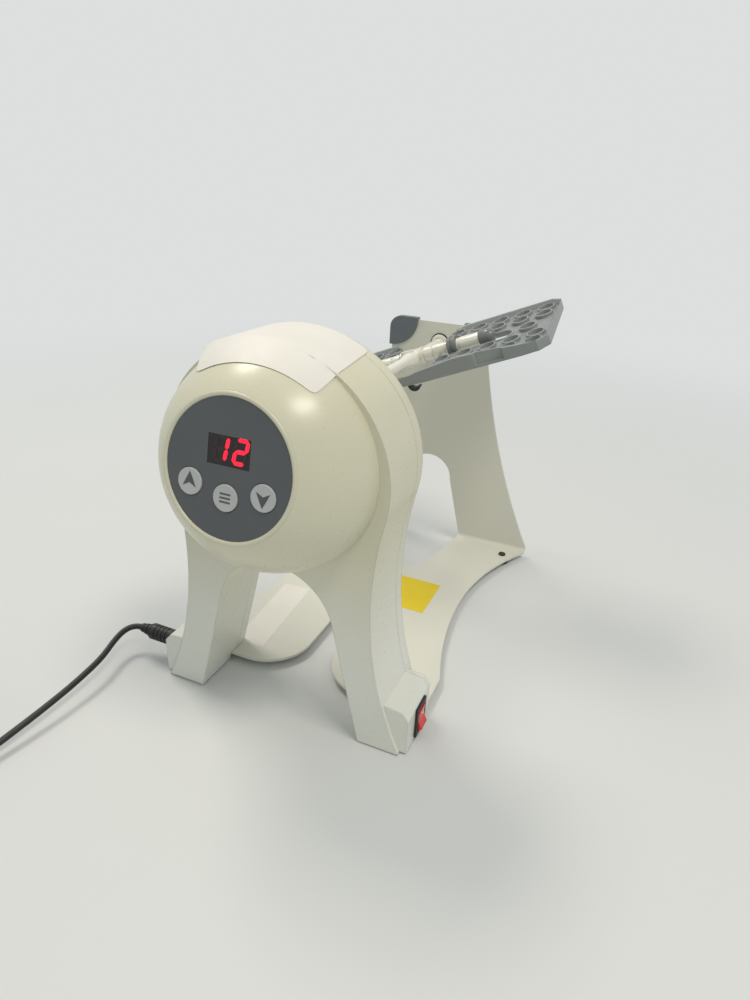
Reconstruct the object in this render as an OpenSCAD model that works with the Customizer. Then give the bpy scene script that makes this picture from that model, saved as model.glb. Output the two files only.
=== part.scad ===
// Bench tube rotator: a drum on two splayed legs turns a clip-on tube paddle
// end over end; a bent steel stand carries the far end of the rotor.
// Origin on the bench, at the middle of the ground it covers.

/* [Drum and legs] */
// Width over the feet of the two legs
foot_span = 165; // [150:1:180]
// Gap between the feet at the bench
foot_gap = 112; // [96:1:124]
// Width across both legs at their narrowest
leg_waist_w = 120; // [112:1:128]
// Height of the legs' narrowest place
leg_waist_z = 99; // [92:1:106]
// Radius of the drum
drum_r = 67.5; // [66:0.5:72]
// Height of the drum's centre above the bench
drum_z = 165.7; // [160:0.5:172]
// Radius of the arch between the legs
arch_r = 38; // [34:0.5:40]
// Height of the arch's centre above the bench
arch_z = 70; // [60:1:74]
// Depth of the moulded front shell
shell_depth = 38; // [34:1:44]
// Depth of the rear cover
cover_depth = 10; // [7:0.5:14]
// Wall of the moulded parts
wall = 3; // [2:0.25:4]

/* [Control panel] */
// Radius of the dark control panel
panel_r = 34.75; // [32:0.25:37]
// Width of the raised lip round the panel
lip_w = 2.4; // [1.6:0.2:4]
// Height of the panel's centre above the bench
panel_z = 180.2; // [176:0.2:184]
// How far the panel's centre stands in front of the legs
panel_out = 39.2; // [34:0.2:44]
// Backward lean of the panel
panel_lean = 11.2; // [6:0.2:14]
// Radius of the bowl behind the panel
bowl_r = 61.5; // [58:0.5:64]
// Depth over which the bowl curves
bowl_depth = 45; // [40:1:50]
// Diameter of the three round keys
key_d = 13.5; // [10:0.5:15]
// Distance of the outer keys from the middle
key_x = 20.5; // [18:0.5:22]
// How far the outer keys lie below the panel's centre
key_drop = 9.3; // [8:0.1:11]
// How far the middle key lies below the panel's centre
mode_drop = 13.6; // [12:0.1:15]
// Travel of a key
key_travel = 0.6; // [0.4:0.1:1]
// Width of the display window
window_w = 23.5; // [20:0.5:26]
// Height of the display window
window_h = 14.5; // [12:0.5:16]
// Height of the window's centre above the panel's centre
window_up = 8.9; // [8:0.1:10]

/* [Stand] */
// Thickness of the bent steel sheet
sheet_t = 2; // [1.5:0.1:3]
// Height of the sheet's underside above the bench
deck_z = 4.5; // [4:0.1:6]
// Inner radius of the bend
bend_r = 3; // [2:0.5:5]
// Distance from the legs' front to the upright's front face
upright_y = 272.5; // [255:0.5:290]
// How far the deck reaches under the legs from their shell's rear edge
deck_under = 6.5; // [4:0.5:8]
// How far the deck's front arms stand out beyond the feet on each side
arm_out = 2; // [-2:0.5:5]
// Width of the deck at its waist
waist_w = 138; // [126:1:150]
// Distance from the legs' front to the waist
waist_y = 165; // [150:1:180]
// Width of the stand at the bend
bend_w = 196; // [180:1:206]
// Width of the slot between the front arms
slot_w = 21; // [18:1:28]
// Corner radius of the front arms beside the slot
arm_r = 32; // [24:1:34]
// Where the slot between the arms ends
slot_end = 108; // [100:1:116]
// Height of the upright's top above the bench
upright_top = 200; // [197:0.5:206]
// Width of the upright at its top
top_w = 87; // [78:1:94]
// Height above which the upright's sides are straight
straight_z = 172; // [160:1:176]
// How far the upright's sides bow in below that
side_bow = 6.2; // [3:0.2:8]
// Width of the cut-out at the bend
cut_w = 69; // [60:1:74]
// Radius of the cut-out's end in the deck
cut_deck_r = 26; // [22:1:28]
// Distance from the upright to the centre of that end
cut_deck_back = 52; // [44:1:60]
// Radius of the cut-out's top in the upright
cut_top_r = 21; // [17:1:24]
// Height of the centre of the cut-out's top
cut_top_z = 60.5; // [50:0.5:70]
// Radius of the grey corner guards
guard_r = 23; // [18:1:26]

/* [Rotor] */
// Height of the rotor's axis above the bench
axis_z = 183; // [181:0.5:185]
// Distance from the legs' front to the hub
hub_y = 210; // [190:1:216]
// Angle at which the rotor rests
rest_turn = 22.9; // [0:0.1:45]
// Diameter of the spindle between drum and hub
spindle_d = 14; // [11:0.5:16]
// Diameter of the spindle's far end in its bush
journal_d = 8; // [6:0.5:9]
// Diameter of the hub's collar on the cross rod
hub_d = 13.6; // [13:0.1:15.5]
// Length along the spindle of the webs that join it to the cross rod
hub_web = 25; // [20:1:32]
// Diameter of the cross rod
rod_d = 12.4; // [11:0.2:14]
// Distance from the axis to the outer face of a rod knob
rod_reach = 67; // [62:1:68]
// Length of a rod knob
knob_len = 12; // [9:0.5:14]
// Radial clearance of shafts in their holes
running_gap = 0.06; // [0.02:0.01:0.1]

/* [Paddle] */
// Length of the paddle
paddle_len = 221; // [212:1:230]
// Width of the paddle
paddle_w = 86; // [84:1:90]
// Thickness of the paddle's plate
plate_t = 2.2; // [1.8:0.1:3]
// Thickness of its ribs
rib_t = 2.6; // [2:0.1:3.4]
// How far the ribs reach below the rod's axis
rib_drop = 10; // [8:0.5:11]
// Corner chamfer at the paddle's ends
end_chamfer = 10; // [6:0.5:12]
// Angle of the paddle about its rod at rest
paddle_tilt = 11; // [11:0.2:14]
// Half width of the gap round the hub
hub_gap = 25; // [23:0.5:25.5]
// Diameter of a tube hole
tube_d = 11; // [9.5:0.25:11.5]
// Wall of the collar round a tube hole
collar_t = 1.2; // [0.8:0.1:1.4]
// Pitch of the tube holes along the rod
tube_pitch = 17.7; // [17.6:0.1:18]
// Distance from the axis to the first tube hole
tube_first = 28.4; // [28:0.1:30]
// Distance of the inner rows from the rod
row_inner = 19.7; // [17:0.1:20]
// Distance of the outer rows from the rod
row_outer = 33.3; // [33:0.1:34.5]
// Number of holes in a row
row_count = 5; // [3:1:5]

/* [Power] */
// How far the switch and socket bosses stand out beyond the feet
boss_out = 3.5; // [1.5:0.5:7]
// Height of the bosses' top above the bench
boss_top = 30; // [27:0.5:34]
// Width of the rocker switch's bezel
bezel_w = 15; // [13:0.5:17]
// Height of the rocker switch's bezel
bezel_h = 21; // [19:0.5:23]
// Distance of the switch's centre from the legs' rear edge
switch_in = 15; // [14:0.5:18]
// Swing of the rocker to each side of level
rocker_swing = 8; // [5:1:10]
// Distance of the power socket from the legs' front
jack_y = 13; // [12:0.5:18]
// Height of the power socket above the bench
jack_z = 19; // [16:0.5:21]
// Diameter of the plug's grip
plug_d = 11; // [9.5:0.5:12]
// Length of the plug's grip
plug_len = 19; // [16:1:24]
// Diameter of the cord
cord_d = 4; // [3.5:0.1:4.5]

/* [Hidden] */
$fn = 96;
eps = 0.01;
far = 400;

cream = [0.86, 0.85, 0.78];
dark = [0.24, 0.26, 0.27];
grey = [0.55, 0.56, 0.56];

// ---- outlines in the plane of the legs: x across, y up ----

leg_waist = leg_waist_w / 2;
foot_x = foot_span / 2;
boss_x = foot_x + boss_out;
switch_y = shell_depth - switch_in;
deck_front = shell_depth - deck_under;
arm_w = foot_span + 2 * arm_out;
flare_r = (pow(leg_waist_z, 2) + pow(foot_x - leg_waist, 2)) / (2 * (foot_x - leg_waist));
flare_x = leg_waist + flare_r;
flare_top = drum_z - (drum_z - leg_waist_z) * drum_r / (drum_r + flare_r);
total_depth = shell_depth + cover_depth;

// Curves that meet as tangents bite this far into each other, so that they cross.
bite = 0.05;

// The arch's side lines leave its circle as tangents and meet the bench at foot_gap.
gap_x = foot_gap / 2;
arch_turn = acos(arch_r / norm([gap_x, arch_z])) - atan2(arch_z, gap_x);
function arch_side(z, grow) =
    (arch_r - bite + grow - (z - arch_z) * sin(arch_turn)) / cos(arch_turn);

module arch_2d(grow) {
    tangent_z = arch_z + (arch_r + grow) * sin(arch_turn);
    high_x = arch_side(tangent_z, grow);
    low_x = arch_side(-1, grow);
    translate([0, arch_z]) circle(r = arch_r + grow);
    polygon([[-high_x, tangent_z], [-low_x, -1], [low_x, -1], [high_x, tangent_z]]);
}

module flares_2d(grow) {
    for (side = [-1, 1])
        translate([side * flare_x, leg_waist_z])
            circle(r = flare_r + bite + grow, $fn = 192);
}

// The stand's front outline, shrunk by inset on every side and cut off at floor_z.
module frame_2d(inset, floor_z) {
    difference() {
        union() {
            translate([0, drum_z]) circle(r = drum_r - inset, $fn = 160);
            difference() {
                translate([-foot_x, floor_z]) square([2 * foot_x, flare_top - floor_z]);
                flares_2d(inset);
            }
        }
        arch_2d(inset);
    }
}

// Extrudes a front outline from y0 back to y1.
module slab(y0, y1) {
    translate([0, y1, 0]) rotate([90, 0, 0]) linear_extrude(y1 - y0) children();
}

// ---- the leaning panel ----

lip_r = panel_r + lip_w;
overlay_t = 1;
bowl_bend_r = (pow(bowl_r - lip_r, 2) + pow(bowl_depth, 2)) / (2 * (bowl_r - lip_r));

// Places children with +Z out of the panel and +Y up along it.
module on_panel() {
    translate([0, -panel_out, panel_z]) rotate([90 - panel_lean, 0, 0]) children();
}

// Bowl of revolution about the panel's axis; front is how deep its flat front lies.
module bowl(inset, front) {
    back = bowl_depth + 20;
    rotate_extrude($fn = 160) {
        intersection() {
            translate([bowl_r - bowl_bend_r, -bowl_depth])
                circle(r = bowl_bend_r - inset, $fn = 360);
            translate([0, -bowl_depth - 6]) square([bowl_r, bowl_depth + 6 - front]);
        }
        translate([0, -back]) square([bowl_r - inset - bite, back - bowl_depth]);
    }
}

// Moves children from the legs' front plane to the middle of the covered ground.
front_y = -panel_out - lip_r * sin(panel_lean);
journal_end = upright_y + sheet_t + 3;
module placed() {
    translate([0, -(front_y + journal_end) / 2, 0]) children();
}

// ---- drum and legs ----

boss_front = 3;
boss_z0 = 1.2;
leg_floor = 0.8;
deck_top = deck_z + sheet_t;
screw_y = 20;
screw_x = (foot_x + gap_x) / 2;
pad_y = 7.5;
pad_d = 10;
cover_screw_d = 3.5;
leg_boss_z = 58;
leg_boss_x = (arch_side(leg_boss_z, 0)
    + flare_x - sqrt(pow(flare_r, 2) - pow(leg_boss_z - leg_waist_z, 2))) / 2;
top_boss_x = (drum_r - wall - 5) * cos(50);
top_boss_z = drum_z + (drum_r - wall - 5) * sin(50);
COVER_SCREWS = [[-top_boss_x, top_boss_z], [top_boss_x, top_boss_z],
    [-leg_boss_x, leg_boss_z], [leg_boss_x, leg_boss_z]];

// Outline of the bosses that carry the socket and the switch, and their slanting top.
module boss_2d(inset) {
    for (side = [-1, 1]) scale_x(side)
        polygon([[gap_x + 8, boss_z0], [boss_x - inset, boss_z0],
            [boss_x - inset, boss_top - 5 - inset], [boss_x - 4 - inset, boss_top - inset],
            [gap_x + 8, boss_top + 2 - inset]]);
}

// Mirrors an outline to the left when side is -1.
module scale_x(side) {
    if (side > 0) children();
    else mirror([1, 0]) children();
}

// What the deck and its tabs take out of the legs' feet.
module deck_room() {
    translate([-far / 2, deck_front - 0.3, -1]) cube([far, far, deck_top + 1.2]);
}

module switch_cut(grow) {
    translate([boss_x - 12, switch_y - bezel_w / 2 + 1.2 - grow,
        switch_z - bezel_h / 2 + 1.2 - grow])
        cube([20, bezel_w - 2.4 + 2 * grow, bezel_h - 2.4 + 2 * grow]);
}
switch_z = boss_z0 + 2 + bezel_h / 2;

module front_shell() placed() color(cream) {
    difference() {
        union() {
            slab(0, shell_depth) frame_2d(0, leg_floor);
            slab(boss_front, shell_depth) boss_2d(0);
            intersection() {
                on_panel() bowl(0, 0);
                translate([-far / 2, -far, 0]) cube([far, far + 1, far]);
            }
        }
        // hollow of the drum and legs, open at the back
        difference() {
            slab(wall, shell_depth + 1) frame_2d(wall, deck_top);
            for (p = COVER_SCREWS) translate([p[0], 0, p[1]]) rotate([-90, 0, 0])
                cylinder(d = 9, h = shell_depth);
            for (side = [-1, 1]) translate([side * screw_x, screw_y, 0])
                cylinder(d = 9, h = boss_top - 6);
        }
        // hollow of the bowl
        intersection() {
            on_panel() bowl(wall, wall + overlay_t);
            translate([-far / 2, -far, 0]) cube([far, far + wall + 0.5, far]);
        }
        // room for the deck, its two tabs, the screws and the pads
        deck_room();
        for (side = [-1, 1]) {
            translate([side * screw_x - tab_w / 2 - 0.3, screw_y - 8.3, deck_z])
                cube([tab_w + 0.6, deck_front, sheet_t + 0.2]);
            translate([side * screw_x, screw_y, 0]) {
                cylinder(d = 3.4, h = boss_top - 8);
                translate([0, 0, -1]) cylinder(d = 8.4, h = 1 + leg_floor + 2.2);
                cylinder(d = 4.4, h = deck_z + eps);
            }
            translate([side * screw_x, pad_y, -1]) cylinder(d = pad_d + 0.4, h = 1 + 3.2);
        }
        for (p = COVER_SCREWS) translate([p[0], 12, p[1]]) rotate([-90, 0, 0])
            cylinder(d = cover_screw_d - 0.5, h = shell_depth);
        // panel recess, window and keys
        on_panel() {
            translate([0, 0, -overlay_t]) cylinder(r = panel_r + 0.1, h = 5, $fn = 160);
            translate([-window_w / 2 - 1, window_up - window_h / 2 - 1, -12])
                cube([window_w + 2, window_h + 2, 20]);
            for (k = KEYS) translate([k[0], k[1], -12]) cylinder(d = key_d + 1.6, h = 20);
        }
        // switch opening and socket bore
        switch_cut(0.2);
        translate([-boss_x - 1, jack_y, jack_z]) rotate([0, 90, 0])
            cylinder(d = socket_d + 0.1, h = 19);
    }
}

module rear_cover() placed() color(cream) {
    inner = shell_depth;
    difference() {
        union() {
            slab(inner, inner + cover_depth - 1.5) frame_2d(0, leg_floor);
            slab(inner + cover_depth - 1.5, inner + cover_depth) frame_2d(0.8, leg_floor);
            slab(inner, inner + wall) boss_2d(0);
        }
        difference() {
            slab(inner - 1, inner + cover_depth - wall) frame_2d(wall, deck_top + wall);
            for (p = COVER_SCREWS) translate([p[0], 0, p[1]]) rotate([-90, 0, 0])
                cylinder(d = 9, h = far);
        }
        deck_room();
        for (p = COVER_SCREWS) translate([p[0], 0, p[1]]) rotate([-90, 0, 0]) {
            cylinder(d = cover_screw_d + 0.3, h = far);
            translate([0, 0, inner + cover_depth - 4]) cylinder(d = 7.6, h = far);
        }
        translate([0, 0, axis_z]) rotate([-90, 0, 0]) cylinder(d = bush_d, h = far);
    }
}

module cover_screws() placed() color("silver") {
    seat = shell_depth + cover_depth - 4;
    for (p = COVER_SCREWS) translate([p[0], 0, p[1]]) rotate([-90, 0, 0]) {
        translate([0, 0, seat]) difference() {
            cylinder(d = 6.8, h = 2.4);
            translate([0, 0, 1.2]) cylinder(d = 3.2, h = 3, $fn = 4);
        }
        translate([0, 0, seat - 16]) cylinder(d = cover_screw_d - 0.6, h = 16 + eps);
    }
}

// ---- panel parts ----

KEYS = [[-key_x, -key_drop], [0, -mode_drop], [key_x, -key_drop]];
key_gap = 0.35;
key_proud = 0.9;

module control_panel() placed() color(dark) on_panel() difference() {
    translate([0, 0, -overlay_t]) cylinder(r = panel_r, h = overlay_t, $fn = 160);
    translate([-window_w / 2, window_up - window_h / 2, -2]) cube([window_w, window_h, 4]);
    for (k = KEYS) translate([k[0], k[1], -2]) cylinder(d = key_d + 2 * key_gap, h = 4);
}

module display_window() placed() color("black") on_panel()
    translate([-window_w / 2, window_up - window_h / 2, -1.6])
        cube([window_w, window_h, 1.4]);

module display_module() placed() color("firebrick") on_panel()
    translate([-window_w / 2 + 0.6, window_up - window_h / 2 + 0.6, -board_back])
        cube([window_w - 1.2, window_h - 1.2, board_back - 1.6]);

board_back = 9;
board_t = 1.6;

module key(k) placed() color("lightgray") on_panel() translate([k[0], k[1], 0]) {
    translate([0, 0, -2.6]) cylinder(d = key_d, h = 2.6 + key_proud - 0.5);
    translate([0, 0, key_proud - 0.5]) cylinder(d = key_d - 0.8, h = 0.4);
    translate([0, 0, -board_back + key_travel + 0.3])
        cylinder(d = 4, h = board_back - key_travel - 2.3);
}
module key_up() key(KEYS[0]);
module key_mode() key(KEYS[1]);
module key_down() key(KEYS[2]);

module circuit_board() placed() color("darkgreen") on_panel()
    translate([0, 0, -board_back - board_t]) cylinder(r = panel_r - 3.5, h = board_t);

// ---- drive ----

motor_d = 37;
motor_front = -18;
plate_y = 14;
bush_d = 16;
bush_bore = 8;
shaft_d = bush_bore - 2 * running_gap;

// How far the drive shaft reaches into the motor, and where it ends in the spindle.
shaft_in = 12;
shaft_end = total_depth + 18;
gearbox_y = motor_front + 12;

module gear_motor() placed() color("silver") translate([0, 0, axis_z]) rotate([-90, 0, 0])
    difference() {
        union() {
            translate([0, 0, motor_front]) cylinder(d = motor_d - 3, h = gearbox_y - motor_front);
            translate([0, 0, gearbox_y]) cylinder(d = motor_d, h = plate_y - gearbox_y);
        }
        translate([0, 0, plate_y - shaft_in - 2]) cylinder(d = bush_bore, h = shaft_in + 8);
    }

plate_h = 44;

module motor_plate() placed() color("silver") difference() {
    intersection() {
        slab(plate_y, plate_y + 2.5) translate([0, drum_z]) circle(r = drum_r - wall - 0.1);
        translate([-far / 2, 0, axis_z - plate_h / 2]) cube([far, far, plate_h]);
    }
    translate([0, 0, axis_z]) rotate([-90, 0, 0]) cylinder(d = bush_bore + 4, h = far);
}

module drive_bush() placed() color("dimgray") translate([0, 0, axis_z]) rotate([-90, 0, 0])
    difference() {
        union() {
            translate([0, 0, total_depth - wall - 1]) cylinder(d = bush_d, h = wall + 1);
            translate([0, 0, total_depth]) cylinder(d = bush_d + 6, h = 1.5);
        }
        cylinder(d = bush_bore, h = far);
    }

module drive_shaft() placed() color("silver") translate([0, 0, axis_z]) rotate([-90, 0, 0])
    translate([0, 0, plate_y - shaft_in])
        cylinder(d = shaft_d, h = shaft_end - plate_y + shaft_in);

// ---- stand ----

bend_y = upright_y - bend_r;
tab_w = 11;
far_bush_d = 15;
bend_x = bend_w / 2;
foot_holes_x = bend_x - 17;
foot_holes_y = upright_y - 17;

// Circle that bows the stand's sides in: radius from half chord and bow.
function bow_r(chord, bow) = (pow(chord / 2, 2) + pow(bow, 2)) / (2 * bow);
// Circle that leaves a vertical line by d over the length l.
function leave_r(l, d) = (pow(l, 2) + pow(d, 2)) / (2 * d);

// Where the front arms' straight sides end, and how far the sides lean in behind them.
arm_y = 79;
arm_in = 12.5;

module deck_2d() {
    rear_r = leave_r(bend_y - waist_y, bend_x - waist_w / 2);
    front_r = leave_r(waist_y - arm_y, arm_in);
    arm_x = arm_w / 2;
    slot = slot_w / 2;
    difference() {
        union() {
            // rear half, flaring back to the bend
            difference() {
                translate([-bend_x, waist_y]) square([bend_w, bend_y - waist_y]);
                for (side = [-1, 1]) translate([side * (waist_w / 2 + rear_r), waist_y])
                    circle(r = rear_r, $fn = 192);
            }
            // front half, flaring forward to the arms
            difference() {
                union() {
                    translate([-arm_x, deck_front + arm_r])
                        square([arm_w, waist_y - deck_front - arm_r + eps]);
                    for (side = [-1, 1]) scale_x(side) {
                        translate([slot + arm_r, deck_front])
                            square([arm_x - slot - arm_r, arm_r + 1]);
                        translate([slot + arm_r, deck_front + arm_r]) circle(r = arm_r);
                        translate([screw_x - tab_w / 2, screw_y - 8])
                            square([tab_w, deck_front - screw_y + 9]);
                    }
                }
                for (side = [-1, 1]) translate([side * (waist_w / 2 + front_r), waist_y])
                    circle(r = front_r, $fn = 192);
                translate([-slot, 0]) square([slot_w, slot_end - slot]);
                translate([0, slot_end - slot]) circle(r = slot);
            }
        }
        // cut-out that runs on through the bend
        translate([0, upright_y - cut_deck_back]) circle(r = cut_deck_r);
        polygon([[-cut_deck_r, upright_y - cut_deck_back], [-cut_w / 2, upright_y],
            [cut_w / 2, upright_y], [cut_deck_r, upright_y - cut_deck_back]]);
        for (side = [-1, 1]) {
            translate([side * foot_holes_x, foot_holes_y]) circle(d = 4.2);
            translate([side * screw_x, screw_y]) circle(d = 4.4);
        }
    }
}

module upright_2d() {
    low_z = deck_top + bend_r;
    half_top = top_w / 2;
    drop = [bend_x - half_top, low_z - straight_z];
    chord = norm(drop);
    middle = [half_top + drop[0] / 2, straight_z + drop[1] / 2];
    out = [-drop[1], drop[0]] / chord;
    r = bow_r(chord, side_bow);
    c = middle + (r - side_bow) * out;
    corner = 8;
    difference() {
        union() {
            translate([-half_top, straight_z]) square([top_w, upright_top - corner - straight_z]);
            translate([-half_top + corner, upright_top - 2 * corner])
                square([top_w - 2 * corner, 2 * corner]);
            for (side = [-1, 1])
                translate([side * (half_top - corner), upright_top - corner]) circle(r = corner);
            difference() {
                translate([-bend_x, low_z]) square([bend_w, straight_z - low_z + eps]);
                for (side = [-1, 1]) translate([side * c[0], c[1]]) circle(r = r, $fn = 256);
            }
        }
        translate([0, cut_top_z]) circle(r = cut_top_r);
        polygon([[-cut_top_r, cut_top_z], [-cut_w / 2, low_z - 1],
            [cut_w / 2, low_z - 1], [cut_top_r, cut_top_z]]);
        translate([0, axis_z]) circle(d = far_bush_d);
    }
}

module bend_strip() {
    translate([0, bend_y, deck_top + bend_r]) rotate([90, 0, 90]) linear_extrude(bend_x - cut_w / 2)
        difference() {
            intersection() {
                circle(r = bend_r + sheet_t);
                translate([0, -far]) square(far);
            }
            circle(r = bend_r);
        }
}

module deck_stand() placed() color(cream) {
    translate([0, 0, deck_z]) linear_extrude(sheet_t) deck_2d();
    slab(upright_y, upright_y + sheet_t) upright_2d();
    translate([cut_w / 2, 0, 0]) bend_strip();
    translate([-bend_x, 0, 0]) bend_strip();
}

module corner_guards() placed() color(dark) {
    over = 1.8;
    half_top = top_w / 2;
    difference() {
        slab(upright_y - over, upright_y + sheet_t + over) for (side = [-1, 1]) scale_x(side)
            intersection() {
                translate([half_top, upright_top]) circle(r = guard_r);
                union() {
                    square([half_top + over, upright_top - 8]);
                    square([half_top - 8, upright_top + over]);
                    translate([half_top - 8, upright_top - 8]) circle(r = 8 + over);
                }
            }
        slab(upright_y, upright_y + sheet_t) upright_2d();
    }
}

module far_bush() placed() color("black") translate([0, upright_y, axis_z]) rotate([-90, 0, 0])
    difference() {
        union() {
            translate([0, 0, -1.5]) cylinder(d = far_bush_d + 4, h = 1.5);
            cylinder(d = far_bush_d, h = sheet_t);
            translate([0, 0, sheet_t]) cylinder(d = far_bush_d + 3, h = 2);
        }
        translate([0, 0, -5]) cylinder(d = journal_d + 2 * running_gap, h = 15);
    }

module rubber_feet() placed() color([0.12, 0.12, 0.12]) {
    for (side = [-1, 1]) {
        translate([side * screw_x, pad_y, 0]) cylinder(d = pad_d, h = 3.2);
        translate([side * foot_holes_x, foot_holes_y, 0]) {
            cylinder(d = 13, h = deck_z);
            cylinder(d = 4.1, h = deck_top);
            translate([0, 0, deck_top]) cylinder(d = 6, h = 1.2);
        }
    }
}

module deck_screws() placed() color("silver") for (side = [-1, 1])
    translate([side * screw_x, screw_y, leg_floor + 0.4]) {
        cylinder(d = 7.6, h = 1.8);
        cylinder(d = 3.2, h = boss_top - 14);
    }

// ---- rotor ----

module on_rotor() {
    translate([0, hub_y, axis_z]) rotate([0, -rest_turn, 0]) children();
}
module on_paddle() {
    on_rotor() rotate([paddle_tilt, 0, 0]) children();
}

collar_u = spindle_d / 2 + 1;
groove_at = [collar_u + 0.6, collar_u + 9, collar_u + 28];

// Web that narrows from the cross rod's collar to the spindle on one side of the rod.
module hub_side(side, d) hull() {
    translate([0, hub_y + side * hub_web, axis_z]) rotate([-90, 0, 0]) cylinder(d = d, h = 0.6);
    on_rotor() rotate([0, 90, 0]) translate([0, 0, -collar_u]) cylinder(d = hub_d, h = 2 * collar_u);
}

module rotor() placed() color(cream) {
    spindle_start = total_depth + 2.5;
    difference() {
        union() {
            translate([0, 0, axis_z]) rotate([-90, 0, 0]) {
                translate([0, 0, spindle_start]) cylinder(d = spindle_d, h = hub_y - spindle_start);
                translate([0, 0, spindle_start]) cylinder(d = spindle_d + 4, h = 12);
                translate([0, 0, hub_y]) cylinder(d = spindle_d - 3, h = upright_y - 6 - hub_y);
                translate([0, 0, hub_y]) cylinder(d = journal_d, h = journal_end - hub_y);
            }
            hub_side(-1, spindle_d - 0.4);
            hub_side(1, spindle_d - 3.4);
            on_rotor() rotate([0, 90, 0]) {
                reach = rod_reach - knob_len;
                translate([0, 0, -reach]) cylinder(d = rod_d, h = 2 * reach);
            }
        }
        // ring grooves on the cross rod
        on_rotor() for (side = [-1, 1], g = groove_at)
            translate([side * g, 0, 0]) rotate([0, 90, 0]) translate([0, 0, -0.6]) difference() {
                cylinder(d = rod_d + 8, h = 1.2);
                cylinder(d = rod_d - 1.4, h = 1.2);
            }
        // round pocket on top of the hub
        on_rotor() translate([0, -9, spindle_d / 2 - 1.4]) cylinder(d = 7, h = 6);
        // bore for the drive shaft
        translate([0, 0, axis_z]) rotate([-90, 0, 0])
            cylinder(d = shaft_d, h = shaft_end + 0.5);
    }
}

module rod_knobs() placed() color(grey) on_rotor() for (side = [-1, 1])
    rotate([0, side * 90, 0]) {
        r = rod_d / 2 + 1;
        rotate_extrude() polygon(concat([[0, rod_reach - knob_len], [r, rod_reach - knob_len]],
            arc([0, rod_reach - r], r, 0, 90)));
    }

// ---- paddle ----

half_len = paddle_len / 2;
half_w = paddle_w / 2;
rod_slot = rod_d / 2 + 2;
slot_u = rod_reach + 3;
clip_u = 28.6;
clip_w = 5.8;
loop_u = 14.5;
loop_r = 7;
pocket_u = 70;
pocket_len = 20;
TUBES = concat(
    [for (i = [0:row_count - 1], v = [-row_outer, -row_inner, row_inner, row_outer])
        [tube_first + i * tube_pitch, v]],
    [[tube_first + (row_count - 1.5) * tube_pitch, 0]]);

// Points along an arc of radius r about c.
function arc(c, r, from, to) =
    [for (i = [0:12]) let (t = from + (to - from) * i / 12) c + r * [cos(t), sin(t)]];

// Outline of the right half seen along the plate, shrunk by inset.
module half_2d(inset) {
    inner_r = 9;
    c = end_chamfer - inset * 0.59;
    e = half_len - inset;
    w = half_w - inset;
    start = hub_gap + inset;
    polygon(concat([[start, -w], [e - c, -w], [e, -w + c], [e, w - c], [e - c, w]],
        arc([hub_gap + inner_r, half_w - inner_r], inner_r - inset, 90, 180)));
}

// Outline round the slot for the rod, open at the hub and rounded at its end.
module slot_2d(start, r) {
    polygon(concat([[start, r], [start, -r]], arc([slot_u, 0], r, -90, 90)));
}

// Side view of half the long rib: crowned over each half, dipped at the spindle.
module rib_profile_2d() {
    e = half_len - end_chamfer;
    crown = 44;
    polygon([[-1, 0.4], [9, 0.4], [13, 1.6], [crown, 4.4], [crown + 22, 3.6], [e, 0.4],
        [e, 2 - rib_drop], [e - 8, 1.4 - rib_drop], [e - 34, -rib_drop], [-1, -rib_drop]]);
}

module paddle_half() {
    top = 1.2;
    difference() {
        union() {
            difference() {
                translate([0, 0, -rib_drop + 2]) linear_extrude(rib_drop - 2 + top) half_2d(0);
                translate([0, 0, -rib_drop]) linear_extrude(rib_drop - plate_t / 2)
                    half_2d(rib_t);
                translate([0, 0, plate_t / 2]) linear_extrude(5) half_2d(rib_t);
            }
            for (t = TUBES) translate([t[0], t[1], -3.2])
                cylinder(d = tube_d + 2 * collar_t, h = 5.2, $fn = 48);
            // raised kerb round the slot for the rod
            translate([0, 0, -5]) linear_extrude(6.8) slot_2d(hub_gap, rod_slot + 1.6);
        }
        for (t = TUBES) translate([t[0], t[1], -20]) cylinder(d = tube_d, h = 40, $fn = 48);
        translate([0, 0, -20]) linear_extrude(40) slot_2d(hub_gap - 1, rod_slot);
    }
    // clip that grips the rod from above
    translate([clip_u, 0, 0]) rotate([0, 90, 0]) difference() {
        cylinder(r = rod_slot + 0.6, h = clip_w);
        translate([0, 0, -1]) cylinder(r = rod_d / 2 + running_gap, h = clip_w + 2);
        translate([rod_d / 2 - 2.6, -rod_d / 2 + 1.5, -1]) cube([20, rod_d - 3, clip_w + 2]);
    }
}

module paddle() placed() color(grey) on_paddle() {
    difference() {
        union() {
            paddle_half();
            mirror([1, 0, 0]) paddle_half();
            // long rib that joins the halves on the drum's side
            translate([0, -half_w + rib_t, 0]) rotate([90, 0, 0]) linear_extrude(rib_t) {
                rib_profile_2d();
                mirror([1, 0]) rib_profile_2d();
            }
            // open loops under the long rib
            for (side = [-1, 1]) translate([side * loop_u, -half_w + rib_t, 0.4 - rib_drop])
                rotate([90, 0, 0]) linear_extrude(rib_t) difference() {
                    circle(r = loop_r);
                    circle(r = loop_r - 3);
                    translate([-loop_r, 0]) square(2 * loop_r);
                }
            translate([-hub_gap - rib_t, -half_w, -rib_drop])
                cube([2 * (hub_gap + rib_t), 10, 2.6]);
        }
        // finger pockets in the long rib
        for (side = [-1, 1]) translate([side * pocket_u - pocket_len / 2, -half_w - 1, -6])
            cube([pocket_len, 2.2, 7.6]);
    }
}

// ---- power ----

socket_d = 9;

module switch_bezel() placed() color("black") difference() {
    translate([boss_x, switch_y - bezel_w / 2, switch_z - bezel_h / 2])
        cube([1.6, bezel_w, bezel_h]);
    translate([boss_x - 1, switch_y - rocker_w / 2 - 0.4, switch_z - rocker_h / 2 - 0.5])
        cube([4, rocker_w + 0.8, rocker_h + 1]);
}

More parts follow.
